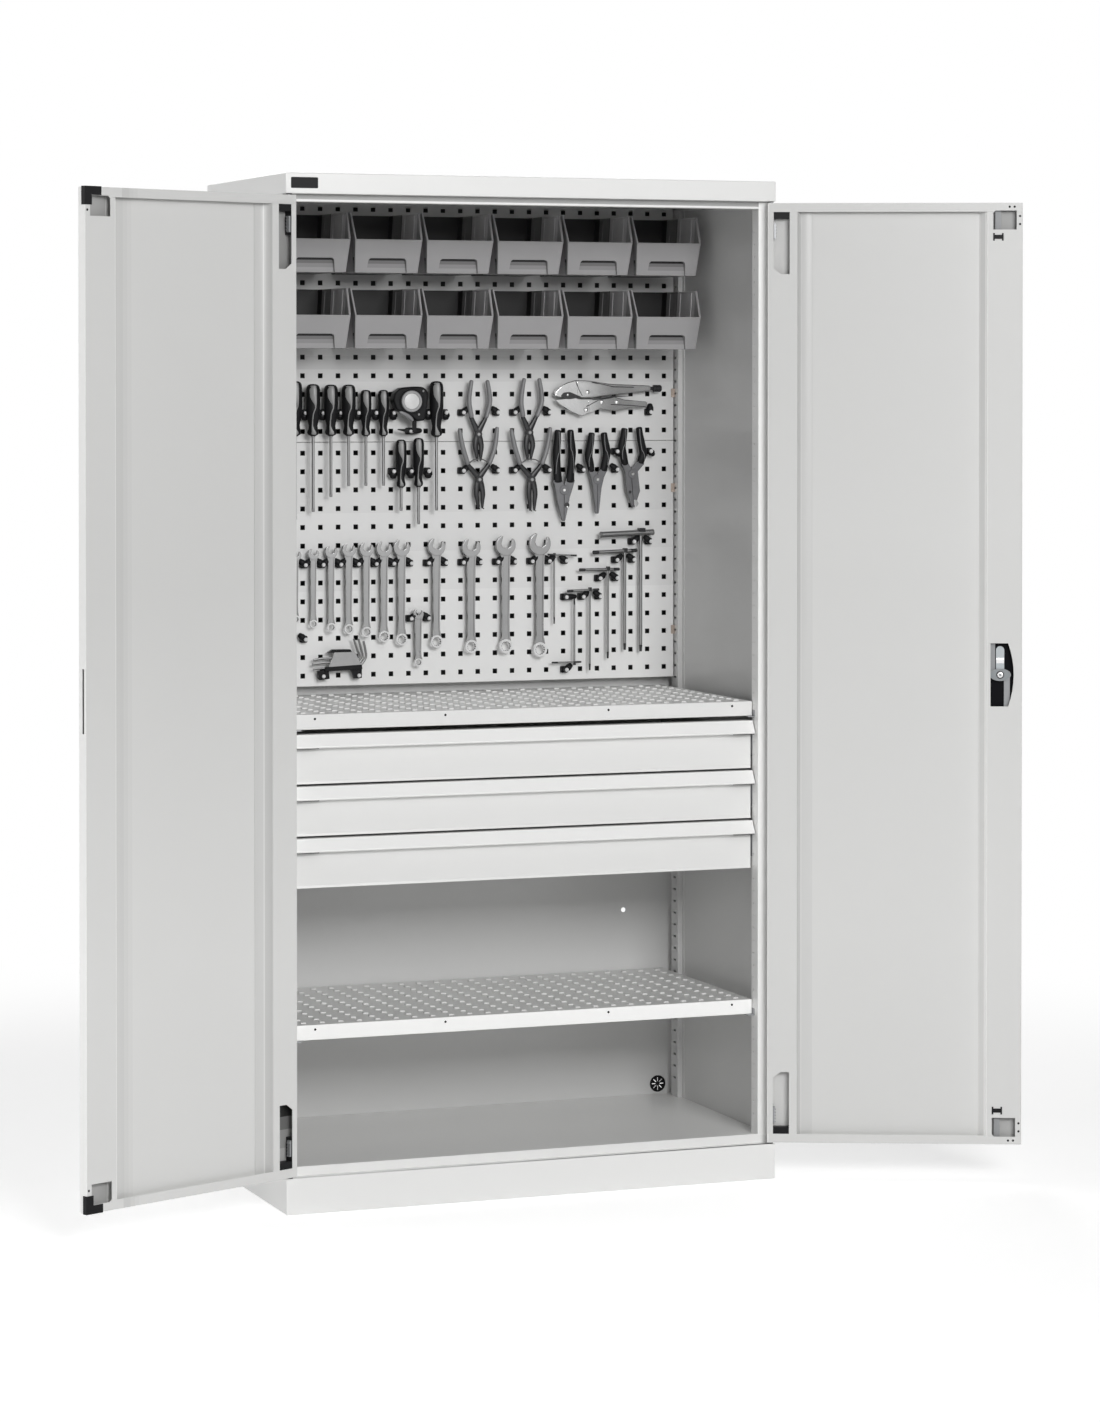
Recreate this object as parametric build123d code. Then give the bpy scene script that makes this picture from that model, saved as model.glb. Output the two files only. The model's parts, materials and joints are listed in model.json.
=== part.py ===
"""Tool cabinet with two hinged doors, three drawers, shelves and a perforated tool wall.

All lengths are in millimetres. X runs to the right, Y to the back and Z up. The origin is the
middle of the footprint, on the floor. The doors are stored swung open by DOOR_OPEN_DEG.
"""

from build123d import *
import math
import os

# ---- carcass ----
WIDTH = 1023.0                 # outside width
DEPTH = 545.0                  # outside depth, cap and plinth
HEIGHT = 2000.0                # outside height
SHEET = 1.2                    # folded steel sheet
CAP_HEIGHT = 40.0
PLINTH_HEIGHT = 70.5
CAP_FRONT_RETURN = 36.0        # folded-in flange under the cap's front
CAP_SIDE_RETURN = 13.0         # narrow enough for the tool wall to stand between them
CAP_BACK_RETURN = 29.0
PLINTH_RETURN = 30.0           # folded-in top flanges of the plinth, sides and back
PLINTH_FRONT_RETURN = 48.0     # top flange behind the plinth's front
PLINTH_FOOT_RETURN = 60.0      # bottom flanges that stand on the floor
FLOOR_RISE = 14.5              # cabinet floor above the plinth
FLOOR_LIP = 3.0                # upstand of the floor's front edge
CEILING_LIP = 14.0             # turned-down front edge of the ceiling frame
CEILING_FRONT = 40.0           # widths of the ceiling frame's strips
CEILING_SIDE = 13.0
CEILING_BACK = 29.0
LIP_HEM = 12.0
FLOOR_BOLT_R = 5.5
FLOOR_BOLT_IN_X = 31.5         # floor bolts, from the outer sides
FLOOR_BOLT_IN_Y = 42.5
WALL_HOLE_R = 5.0
WALL_HOLE_IN_X = 111.5         # wall fixing holes, from the outer sides
WALL_HOLE_TOP = 120.0          # upper pair, below the top
WALL_HOLE_SPAN = 1400.0        # from the upper pair down to the lower pair
VENT_HOLE_R = 15.0
VENT_FLANGE_R = 17.4
VENT_FLANGE_T = 2.0
VENT_IN_X = 33.0               # vent centre, from the right side
VENT_ABOVE_FLOOR = 21.0
VENT_SLOTS = 8

# ---- posts and slots ----
POST_WIDTH = 28.0
POST_RETURN = 32.5             # depth of a front post
POST_TAIL = 12.0
SLOT_PITCH = 25.0
SLOT_START = 40.0              # first slot above the floor
FRONT_SLOT = 3.0               # square holes in the front posts
FRONT_SLOT_BACK = 21.5         # from the post's front face
REAR_POST_OUT = 11.0           # rear post's stand-off from the side wall
REAR_POST_WIDTH = 35.0
REAR_POST_FLANGE = 10.0
REAR_POST_FROM_BACK = 29.0     # back edge of the rear post to the cabinet's back
REAR_SLOT_LONG = 14.0
REAR_SLOT_HIGH = 4.0

# ---- doors ----
DOOR_THICKNESS = 20.0
DOOR_CLEARANCE = 2.5           # door's inner face to the carcass
SIDE_GAP = 2.5
CENTRE_GAP = 3.0
DOOR_TOP_GAP = 3.3
DOOR_BOTTOM_GAP = 3.8
DOOR_EDGE_R = 0.9
DOOR_RETURN = 17.8             # top and bottom flanges of the door
HINGE_IN = 5.9                 # hinge axis, from the door's hinge edge
HINGE_BACK = 6.0               # hinge axis, from the door's outer face
DOOR_OPEN_DEG = 156.5
HINGE_CHANNEL = 59.0
HINGE_SLOPE = 7.0
HINGE_FOOT = 24.0
LOCK_CHANNEL = 70.8
LOCK_SLOPE = 15.0
HINGE_WINDOW = (11.6, 43.5)    # across the door, from the hinge edge
HINGE_WINDOW_HIGH = 124.0
HINGE_WINDOW_CUT = (14.7, 11.0)
CORNER_WINDOW = (12.2, 58.8)   # across the door, from the free edge
CORNER_WINDOW_DOWN = (15.5, 53.3)
CORNER_WINDOW_CUT = 5.0
PIN_R = 3.5
RUN_CLEAR = 0.05               # radial running clearance
PIN_IN_FRAME = 9.0
PIN_IN_DOOR = 52.0
PIN_HOLE_CLEAR = 0.6
BUSH_R = 4.7
BUSH_COLLAR_R = 5.8
BUSH_COLLAR_T = 1.4
BUSH_DEPTH = 10.0
HOUSING_HIGH = 75.0
HOUSING_HEAD = 30.0
HOUSING_WIDE = 10.8
LATCH_OUT = 5.5
LATCH_HIGH = 31.0
LATCH_TEETH = 5
LATCH_FROM_TOP = 39.0
GUARD_T = 1.2
GUARD_ARM = 37.5
GUARD_ARM_HIGH = 15.0
GUARD_LEG = 15.5
GUARD_LEG_HIGH = 33.0
GUARD_WRAP = 9.0

# ---- lock ----
LOCK_IN = 43.2                 # lock axis, from the free edge
LOCK_HEIGHT = 1014.5
LOCK_WINDOW = (62.6, 27.7, 16.6)    # left edge, corner and bulge, from the free edge
LOCK_WINDOW_HALF = 63.1
LOCK_CASE = (68.5, 24.5, 13.0)
LOCK_CASE_HALF = 66.0
LOCK_CASE_WALL = 2.0
LOCK_CASE_FLOOR = 5.0
ROD_LAYER = (8.2, 11.0)        # depth of the lock rods in the door
LEVER_LAYER = (11.3, 13.8)
CAM_LAYER = (14.1, 16.9)
SCREW_HIGH = 2.4
SCREW_R = 5.5
SHAFT_R = 6.0
CAM_LONG = 42.6
CAM_HIGH = 24.4
LEVER_WIDE = 16.5
LEVER_LONG = 57.0
STRIKE_HALF = 59.5
STRIKE_LAYER = (10.0, 15.2)
ROD_WIDE = 12.0
ROD_IN = 48.5                  # rods, from the free edge
ROD_CLEAR = 0.4
ROD_TRAVEL = 15.0
ROD_REST_BACK = 3.0            # rod's end below the door's edge at rest
UPPER_ROD_SHIFT = -10.5        # rods' side steps at the lock
LOWER_ROD_SHIFT = 19.0
ROD_JOG = (74.0, 112.0)        # the side steps lie this far from the lock axis
ROD_PIN_R = 3.0
GUIDE_WIDE = 20.5
GUIDE_HIGH = 15.0
GUIDE_WAIST = 8.0
GUIDE_PLATE = 1.2
GUIDE_DOWN = 68.0              # rod guides, from the door's top and bottom
GUIDE_WALL = 2.2
PLATE_T = 3.0
PLATE_WIDE = 40.0
PLATE_HIGH = 128.0
PLATE_NECK_R = 14.0
NECK_CLEAR = 0.3
HUB_R = 15.0
HUB_HIGH = 12.0
HANDLE_LONG = 95.0
HANDLE_WIDE = 22.0
HANDLE_T = 9.0
KEY_R = 7.0
KEY_DEEP = 9.0
KEY_SLOT = (1.6, 8.0, 6.0)

# ---- drawers ----
DRAWER_DROPS = (38.5, 139.2, 239.9)     # drawers' tops, below the upper shelf's top
DRAWER_NAMES = ("drawer_1", "drawer_2", "drawer_3")
DRAWER_FRONT_HIGH = 96.5
DRAWER_FACE_BACK = 52.0        # drawer face, behind the cabinet's front
DRAWER_SIDE_GAP = 3.5
DRAWER_PAN = 18.0
HANDLE_SIDE_GAP = 2.0
BOX_BACK = 490.0
BOX_HIGH = 74.0
BOX_RISE = 8.5
RAIL_T = 1.5
RAIL_GAP = 0.3
RAIL_STEP = 5.7                # each member stands this far inside the last
RAIL_DEEP = 9.0
RAIL_HALF = 23.0
RAIL_LEVEL = 46.5              # rails' centre above the drawer's bottom edge
RAIL_FRONT_BACK = 74.0
RAIL_LONG = 420.0
RAIL_TAB = 4.0

# ---- shelves ----
SHELF_UNDER_PANEL = 18.7       # upper shelf's top, below the tool wall
LOWER_SHELF_TOP = 355.5
SHELF_HIGH = 29.5
SHELF_SIDE_GAP = 1.0
SHELF_FRONT_BACK = 50.0
SHELF_REAR_BACK = 530.0
SHELF_HEM = 14.0
SHELF_HOLE_R = 1.6
SHELF_HOLE_DOWN = 9.0
SHELF_HOLES = (44.0, 311.0)    # from each end of the shelf
CLIP_T = 1.5
CLIP_REACH = 14.0
CLIP_WIDE = 16.0
CLIP_HIGH = 12.0

# ---- tool wall ----
PANEL_SIDE_CLEAR = 14.5        # tool wall, from the outer sides
PANEL_MARGIN = 21.8            # first hole row, from a panel's edge
PANEL_IN_CAP = 15.6            # upper panel's top edge, above the cap's underside
PANEL_SEAM_GAP = 0.7
PANEL_FACE_BACK = 500.5
PANEL_EDGE = 13.0
PANEL_T = 1.5
HOLE = 10.0
HOLE_PITCH = 38.0
HOLE_ROWS = 13
SIDE_CLIP_HALF = 9.0
SIDE_CLIP_LEVELS = (100.0, 400.0)

# ---- bins ----
BIN_PITCH = 4 * HOLE_PITCH
BIN_FIRST_IN = 91.0            # right bin's middle, from the tool wall's right edge
BIN_ROW_RISES = (343.0, 191.0)  # bins' bottoms, above the upper panel's foot
BIN_HIGH = 121.0
BIN_BASE_WIDE = 131.0
BIN_TOP_WIDE = 146.0
BIN_REAR_LESS = 16.0           # the back is narrower than the front by this
BIN_LIP_OUT = 196.0            # front lip, from the tool wall
BIN_LIP_HIGH = 66.0
BIN_LEAN = 7.5                 # the front leans out by this up to the lip
BIN_RIM_BACK = 26.5            # the sides reach full height this far behind the lip
BIN_WALL = 2.2
GRIP_WIDE = 77.0
GRIP_HIGH = 29.0
GRIP_DEEP = 12.0
GRIP_FLARE = 4.0

LEFT, RIGHT = -WIDTH / 2, WIDTH / 2
FRONT, BACK = -DEPTH / 2, DEPTH / 2
CAP_UNDER = HEIGHT - CAP_HEIGHT
BODY_FRONT = FRONT + DOOR_THICKNESS + DOOR_CLEARANCE
FLOOR_TOP = PLINTH_HEIGHT + FLOOR_RISE
CEILING = CAP_UNDER - SHEET
REAR_POST_BACK = BACK - REAR_POST_FROM_BACK
REAR_POST_FRONT = REAR_POST_BACK - REAR_POST_WIDTH
REAR_POST_IN = SHEET + REAR_POST_OUT        # rear post's face, from the outer side
PANEL_FACE = FRONT + PANEL_FACE_BACK
PANEL_WIDE = WIDTH - 2 * PANEL_SIDE_CLEAR
HOLE_COLUMNS = 2 * int(PANEL_WIDE // (2 * HOLE_PITCH))
PANEL_HIGH = (HOLE_ROWS - 1) * HOLE_PITCH + 2 * PANEL_MARGIN
PANEL_SEAM = CAP_UNDER + PANEL_IN_CAP - PANEL_HIGH          # foot of the upper panel
LOWER_PANEL_FOOT = PANEL_SEAM - PANEL_SEAM_GAP - PANEL_HIGH
BIN_COUNT = int(PANEL_WIDE // BIN_PITCH)
UPPER_SHELF_TOP = LOWER_PANEL_FOOT - SHELF_UNDER_PANEL
DRAWER_TOPS = tuple(UPPER_SHELF_TOP - drop for drop in DRAWER_DROPS)
DOOR_WIDTH = (WIDTH - 2 * SIDE_GAP - CENTRE_GAP) / 2
DOOR_TOP = CAP_UNDER - DOOR_TOP_GAP
DOOR_BOTTOM = PLINTH_HEIGHT + DOOR_BOTTOM_GAP
DOOR_MIDDLE = (DOOR_TOP + DOOR_BOTTOM) / 2
HINGE_X = WIDTH / 2 - SIDE_GAP - HINGE_IN
HINGE_Y = FRONT + HINGE_BACK
ROD_X = WIDTH / 2 - SIDE_GAP - DOOR_WIDTH + ROD_IN
FACE_Y = FRONT + DRAWER_FACE_BACK
UP, DOWN = 1, -1


# ---- helpers ----
def block(x, y, z):
    """Box between three pairs of limits."""
    size = Box(x[1] - x[0], y[1] - y[0], z[1] - z[0])
    return Pos((x[0] + x[1]) / 2, (y[0] + y[1]) / 2, (z[0] + z[1]) / 2) * size


def mirrored(shape):
    """The same shape on the cabinet's other side."""
    return mirror(shape, about=Plane.YZ)


def pair(shape):
    """A shape and its mirror image."""
    return [shape, mirrored(shape)]


def upright(radius, x, y, z):
    """Round bar or hole along Z."""
    return Pos(x, y, (z[0] + z[1]) / 2) * Cylinder(radius, z[1] - z[0])


def across(radius, x, z, y):
    """Round bar or hole along Y."""
    return Pos(x, (y[0] + y[1]) / 2, z) * Rot(90, 0, 0) * Cylinder(radius, y[1] - y[0])


def pierced(width, height, thickness, holes):
    """Plate in the XY plane, rising along Z, with holes given as (x, y, width, height)."""
    cuts = [Pos(x, y, 0) * Wire.make_rect(w, h) for x, y, w, h in holes]
    return extrude(Face(Wire.make_rect(width, height), cuts), amount=thickness, dir=(0, 0, 1))


def flat(points, y):
    """Plate in the XZ plane between two Y values, from its outline."""
    face = make_face(Polyline(*[(px, 0, pz) for px, pz in points], close=True))
    return extrude(face, amount=y[1] - y[0], dir=(0, 1, 0)).moved(Pos(0, y[0], 0))


def along_x(points, x):
    """Bar along X between two X values, from its outline in the YZ plane."""
    face = make_face(Polyline(*[(0, py, pz) for py, pz in points], close=True))
    return extrude(face, amount=x[1] - x[0], dir=(1, 0, 0)).moved(Pos(x[0], 0, 0))


def along_z(points, z):
    """Bar along Z between two Z values, from its outline in the XY plane."""
    face = make_face(Polyline(*[(px, py, 0) for px, py in points], close=True))
    return extrude(face, amount=z[1] - z[0], dir=(0, 0, 1)).moved(Pos(0, 0, z[0]))


def save(name, *shapes):
    """Write one node's solids."""
    solids = [solid for shape in shapes for solid in shape.solids()]
    export_step(solids[0] if len(solids) == 1 else Compound(solids), f"parts/{name}.step")


# ---- carcass ----
def hinge_holes(z):
    """Holes for the pivot bushes, through a sheet between two heights."""
    return upright(BUSH_R, -HINGE_X, HINGE_Y, z) + upright(BUSH_R, HINGE_X, HINGE_Y, z)


def rod_hole(z):
    """Slot that takes the end of a lock rod when the doors are locked."""
    half = ROD_WIDE / 2 + 2 * ROD_CLEAR
    depth = (FRONT + ROD_LAYER[0] - 2 * ROD_CLEAR, FRONT + ROD_LAYER[1] + 2 * ROD_CLEAR)
    return block((ROD_X - half, ROD_X + half), depth, z)


def folded_frame(z, sheet_side, front_return, side_return, back_return):
    """Tray of sheet: four walls, one closed or open side and folded-in flanges."""
    inside = (LEFT + SHEET, RIGHT - SHEET), (FRONT + SHEET, BACK - SHEET)
    shell = block((LEFT, RIGHT), (FRONT, BACK), z)
    shell -= block(*inside, (z[0] + SHEET, z[1] - SHEET))
    opening = (LEFT + side_return, RIGHT - side_return), (FRONT + front_return, BACK - back_return)
    z_cut = (z[0], z[0] + SHEET) if sheet_side == UP else (z[1] - SHEET, z[1])
    return shell - block(*opening, z_cut)


def top_cap():
    """Closed top sheet with deep walls and flanges folded in below."""
    returns = CAP_FRONT_RETURN, CAP_SIDE_RETURN, CAP_BACK_RETURN
    cap = folded_frame((CAP_UNDER, HEIGHT), UP, *returns)
    flange = (CAP_UNDER - 1, CAP_UNDER + SHEET + 1)
    return cap - hinge_holes(flange) - rod_hole(flange)


def floor_bolt_places():
    """Centres of the floor bolt holes."""
    x, y = WIDTH / 2 - FLOOR_BOLT_IN_X, DEPTH / 2 - FLOOR_BOLT_IN_Y
    return [(sx * x, sy * y) for sx in (-1, 1) for sy in (-1, 1)]


def plinth():
    """Folded base frame, open in the middle, with flanges at its top and foot."""
    z = (0, PLINTH_HEIGHT)
    base = folded_frame(z, DOWN, PLINTH_FRONT_RETURN, PLINTH_RETURN, PLINTH_RETURN)
    foot = PLINTH_FOOT_RETURN
    base -= block((LEFT + foot, RIGHT - foot), (FRONT + foot, BACK - foot), (0, SHEET))
    for x, y in floor_bolt_places():
        base -= upright(FLOOR_BOLT_R, x, y, (-1, SHEET + 1))
    flange = (PLINTH_HEIGHT - SHEET - 1, PLINTH_HEIGHT + 1)
    return base - hinge_holes(flange) - rod_hole(flange)


def floor_pan():
    """Cabinet floor: a tray turned upside down on the plinth, with a low front upstand."""
    x = (LEFT + SHEET, RIGHT - SHEET)
    y = (BODY_FRONT, BACK - SHEET)
    pan = block(x, y, (PLINTH_HEIGHT, FLOOR_TOP))
    pan -= block((x[0] + SHEET, x[1] - SHEET), (y[0] + SHEET, y[1] - SHEET),
                 (PLINTH_HEIGHT, FLOOR_TOP - SHEET))
    inner = WIDTH / 2 - POST_WIDTH
    return pan + block((-inner, inner), (y[0], y[0] + SHEET), (FLOOR_TOP - SHEET, FLOOR_TOP + FLOOR_LIP))


def left_side_panel():
    """Side wall between plinth and cap."""
    return block((LEFT, LEFT + SHEET), (BODY_FRONT, BACK), (PLINTH_HEIGHT, CAP_UNDER))


def wall_hole_places():
    """Centres of the wall fixing holes in the back, as x and z."""
    x, top = WIDTH / 2 - WALL_HOLE_IN_X, HEIGHT - WALL_HOLE_TOP
    return [(sx * x, z) for sx in (-1, 1) for z in (top, top - WALL_HOLE_SPAN)]


def vent_place():
    """Centre of the vent, as x and z."""
    return RIGHT - VENT_IN_X, FLOOR_TOP + VENT_ABOVE_FLOOR


def back_panel():
    """Rear wall with wall fixing holes and the vent hole."""
    through = (BACK - SHEET - 1, BACK + 1)
    panel = block((LEFT + SHEET, RIGHT - SHEET), (BACK - SHEET, BACK), (PLINTH_HEIGHT, CAP_UNDER))
    for x, z in wall_hole_places():
        panel -= across(WALL_HOLE_R, x, z, through)
    return panel - across(VENT_HOLE_R, *vent_place(), through)


def vent_plug():
    """Round plug with radial slots, pressed into the vent hole from inside."""
    x, z = vent_place()
    face = BACK - SHEET
    plug = across(VENT_FLANGE_R, x, z, (face - VENT_FLANGE_T, face))
    plug += across(VENT_HOLE_R, x, z, (face, BACK))
    slot_long = VENT_HOLE_R * 0.6
    cut = block((VENT_HOLE_R * 0.3, VENT_HOLE_R * 0.3 + slot_long),
                (face - VENT_FLANGE_T - 1, BACK + 1), (-1, 1))
    for turn in range(VENT_SLOTS):
        plug -= Pos(x, 0, z) * Rot(0, turn * 360 / VENT_SLOTS, 0) * cut
    return plug


def slot_levels():
    """Heights of the posts' slots."""
    count = int((CEILING - FLOOR_TOP - 2 * SLOT_START) // SLOT_PITCH) + 1
    return [FLOOR_TOP + SLOT_START + i * SLOT_PITCH for i in range(count)]


def slotted_strip(x, y, slot_y, slot):
    """Upright strip facing X with a row of slots; slot is (along Y, along Z)."""
    middle_y, middle_z = (y[0] + y[1]) / 2, (FLOOR_TOP + CEILING) / 2
    holes = [(slot_y - middle_y, level - middle_z, *slot) for level in slot_levels()]
    strip = pierced(y[1] - y[0], CEILING - FLOOR_TOP, x[1] - x[0], holes)
    return Pos(x[0], middle_y, middle_z) * Plane.YZ.location * strip


def left_front_post():
    """Front post: front face, pierced inner return and a tail behind."""
    z = (FLOOR_TOP, CEILING)
    inner, back = LEFT + POST_WIDTH, BODY_FRONT + POST_RETURN
    post = block((LEFT + SHEET, inner - SHEET), (BODY_FRONT, BODY_FRONT + SHEET), z)
    post += slotted_strip((inner - SHEET, inner), (BODY_FRONT, back),
                          BODY_FRONT + FRONT_SLOT_BACK, (FRONT_SLOT, FRONT_SLOT))
    return post + block((inner - SHEET - POST_TAIL, inner - SHEET), (back - SHEET, back), z)


def left_rear_post():
    """Rear post: a hat section on the side wall with slots in its face."""
    z = (FLOOR_TOP, CEILING)
    wall, face = LEFT + SHEET, LEFT + REAR_POST_IN
    front, back = REAR_POST_FRONT, REAR_POST_BACK
    post = slotted_strip((face - SHEET, face), (front, back), (front + back) / 2,
                         (REAR_SLOT_LONG, REAR_SLOT_HIGH))
    post += block((wall, face - SHEET), (front, front + SHEET), z)
    post += block((wall, face - SHEET), (back - SHEET, back), z)
    post += block((wall, wall + SHEET), (front - REAR_POST_FLANGE, front), z)
    return post + block((wall, wall + SHEET), (back, back + REAR_POST_FLANGE), z)


def ceiling_frame():
    """Frame of four strips under the cap; the front one has a turned-down, hemmed lip."""
    inner, z = WIDTH / 2 - POST_WIDTH, (CEILING, CAP_UNDER)
    wide, lip_z = (LEFT + SHEET, RIGHT - SHEET), CEILING - CEILING_LIP
    between_strips = (BODY_FRONT + CEILING_FRONT, BACK - CEILING_BACK)
    front = block(wide, (BODY_FRONT, between_strips[0]), z)
    front += block((-inner, inner), (BODY_FRONT, BODY_FRONT + SHEET), (lip_z, CEILING))
    front += block((-inner, inner), (BODY_FRONT, BODY_FRONT + LIP_HEM), (lip_z, lip_z + SHEET))
    back = block(wide, (between_strips[1], BACK - SHEET), z)
    return [front, back, *pair(block((LEFT + SHEET, LEFT + CEILING_SIDE), between_strips, z))]


def name_plate():
    """Blank plate on the cap's front."""
    x, z = (LEFT + 10.4, LEFT + 64.4), (CAP_UNDER + 10.5, CAP_UNDER + 31.5)
    blank = block(x, (FRONT - 0.8, FRONT), z)
    return fillet(blank.edges().filter_by(Axis.Y), 2.0)


def pivot_bush(side):
    """Bush in the cap (UP) or the plinth (DOWN) that a pivot pin turns in."""
    face = CAP_UNDER if side == UP else PLINTH_HEIGHT
    bush = Pos(0, 0, BUSH_DEPTH / 2) * Cylinder(BUSH_R, BUSH_DEPTH)
    bush += Pos(0, 0, -BUSH_COLLAR_T / 2) * Cylinder(BUSH_COLLAR_R, BUSH_COLLAR_T)
    bush -= Cylinder(PIN_R + RUN_CLEAR, 4 * BUSH_DEPTH)
    turned = bush if side == UP else Rot(180, 0, 0) * bush
    return Pos(-HINGE_X, HINGE_Y, face) * turned


# ---- doors, modelled closed: x from the hinge edge, y from the outer face ----
def hung_left(shape):
    """Move a door piece to the left opening and swing it open."""
    swing = Pos(-HINGE_X, HINGE_Y, 0) * Rot(0, 0, -DOOR_OPEN_DEG) * Pos(HINGE_X, -HINGE_Y, 0)
    return swing * Pos(LEFT + SIDE_GAP, FRONT, 0) * shape


def hung_right(shape):
    """The same for the right opening."""
    return mirrored(hung_left(shape))


def strike_slot():
    """Slot in the free edge for the lock's cam lever."""
    z = (LOCK_HEIGHT - STRIKE_HALF, LOCK_HEIGHT + STRIKE_HALF)
    return block((DOOR_WIDTH - SHEET - 1, DOOR_WIDTH + 1), STRIKE_LAYER, z)


def door_skin():
    """Outer pan: face sheet, four walls and the top and bottom returns."""
    full = block((0, DOOR_WIDTH), (0, DOOR_THICKNESS), (DOOR_BOTTOM, DOOR_TOP))
    full = fillet(full.edges().filter_by(Axis.Z).group_by(Axis.Y)[0], min(DOOR_EDGE_R, 0.8 * SHEET))
    x = (SHEET, DOOR_WIDTH - SHEET)
    full -= block(x, (SHEET, DOOR_THICKNESS - SHEET), (DOOR_BOTTOM + SHEET, DOOR_TOP - SHEET))
    opening = (DOOR_BOTTOM + DOOR_RETURN, DOOR_TOP - DOOR_RETURN)
    full -= block(x, (DOOR_THICKNESS - SHEET, DOOR_THICKNESS), opening)
    walls = (DOOR_BOTTOM - 1, DOOR_BOTTOM + SHEET + 1), (DOOR_TOP - SHEET - 1, DOOR_TOP + 1)
    for z in walls:
        full -= upright(PIN_R + PIN_HOLE_CLEAR, HINGE_IN, HINGE_BACK, z)
    return full - corner_windows() - strike_slot()


def hinge_windows():
    """Windows in the hinge channel that show the pivot latches, cut off at one corner."""
    x0, x1 = HINGE_WINDOW
    cut_x, cut_z = HINGE_WINDOW_CUT
    cuts = []
    for end, sign in ((DOOR_TOP, 1), (DOOR_BOTTOM, -1)):
        near = end - sign * DOOR_RETURN
        far = near - sign * HINGE_WINDOW_HIGH
        outline = [(x0, near), (x1, near), (x1, far), (x0 + cut_x, far), (x0, far + sign * cut_z)]
        cuts.append(flat(outline, (DOOR_THICKNESS - SHEET - 1, DOOR_THICKNESS + 1)))
    return cuts[0] + cuts[1]


def corner_windows():
    """Windows in the lock channel's corners, cut off at one corner."""
    x0, x1 = DOOR_WIDTH - CORNER_WINDOW[1], DOOR_WIDTH - CORNER_WINDOW[0]
    cut = CORNER_WINDOW_CUT
    cuts = []
    for end, sign in ((DOOR_TOP, 1), (DOOR_BOTTOM, -1)):
        near, far = (end - sign * down for down in CORNER_WINDOW_DOWN)
        outline = [(x0, near - sign * cut), (x0 + cut, near), (x1, near), (x1, far), (x0, far)]
        cuts.append(flat(outline, (DOOR_THICKNESS - SHEET - 1, DOOR_THICKNESS + 1)))
    return cuts[0] + cuts[1]


def channel(flange_end, slope, foot, toward):
    """Stiffening channel: flange level with the door's returns, sloped wall and a foot on the skin."""
    top, under = DOOR_THICKNESS, DOOR_THICKNESS - SHEET
    low = flange_end + toward * slope
    tip = low + foot
    outline = [(flange_end, top - SHEET), (low, 2 * SHEET), (tip, 2 * SHEET), (tip, SHEET),
               (low - toward * SHEET, SHEET), (flange_end - toward * SHEET, under)]
    if foot * toward < 0:
        outline = [(flange_end, under), (low, SHEET), (tip, SHEET), (tip, 2 * SHEET),
                   (low - toward * SHEET, 2 * SHEET), (flange_end - toward * SHEET, under)]
    wall = along_z(outline, (DOOR_BOTTOM + SHEET, DOOR_TOP - SHEET))
    edge = SHEET if toward > 0 else DOOR_WIDTH - SHEET
    x = (min(edge, flange_end), max(edge, flange_end))
    z = (DOOR_BOTTOM + DOOR_RETURN, DOOR_TOP - DOOR_RETURN)
    return wall + block(x, (under, top), z)


def hinge_channel():
    """Channel along the hinge edge, with its latch windows."""
    return channel(HINGE_CHANNEL, HINGE_SLOPE, HINGE_FOOT, 1) - hinge_windows()


def lock_channel():
    """Channel along the free edge, with its corner windows."""
    shape = channel(DOOR_WIDTH - LOCK_CHANNEL, LOCK_SLOPE, SHEET * 8, -1)
    return shape - corner_windows()


def pivot_housing(side):
    """Black housing in the door's hinge corner that holds the pivot pin."""
    x = (SHEET, SHEET + HOUSING_WIDE)
    y = (SHEET, DOOR_THICKNESS - SHEET)
    wide = HINGE_WINDOW[1] + 3
    leg = block(x, y, (-HOUSING_HIGH, 0)) + block((x[1], wide), y, (-HOUSING_HEAD, 0))
    leg -= upright(PIN_R + RUN_CLEAR, HINGE_IN, HINGE_BACK, (-PIN_IN_DOOR, 1))
    return at_door_end(leg, side)


def at_door_end(shape, side):
    """Place a piece that is modelled below z = 0 at the inside of the door's top or bottom wall."""
    if side == UP:
        return Pos(0, 0, DOOR_TOP - SHEET) * shape
    return Pos(0, 0, DOOR_BOTTOM + SHEET) * mirror(shape, about=Plane.XY)


def pivot_pin(side):
    """Pivot pin, from the housing through the door's wall into the frame's bush."""
    gap = DOOR_TOP_GAP if side == UP else DOOR_BOTTOM_GAP
    pin = upright(PIN_R, HINGE_IN, HINGE_BACK, (-PIN_IN_DOOR, SHEET + gap + PIN_IN_FRAME))
    return at_door_end(chamfer(pin.edges().filter_by(GeomType.CIRCLE), 0.6), side)


def pivot_latch(side):
    """Serrated thumb piece on the housing, seen through the window."""
    x = SHEET + HOUSING_WIDE
    top, step = -LATCH_FROM_TOP, LATCH_HIGH / LATCH_TEETH
    outline = [(x, top - LATCH_HIGH), (x, top)]
    for tooth in range(LATCH_TEETH):
        z = top - tooth * step
        outline += [(x + LATCH_OUT, z), (x + LATCH_OUT * 0.55, z - step)]
    return at_door_end(flat(outline, (HINGE_BACK + 3, DOOR_THICKNESS - SHEET - 1)), side)


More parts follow.
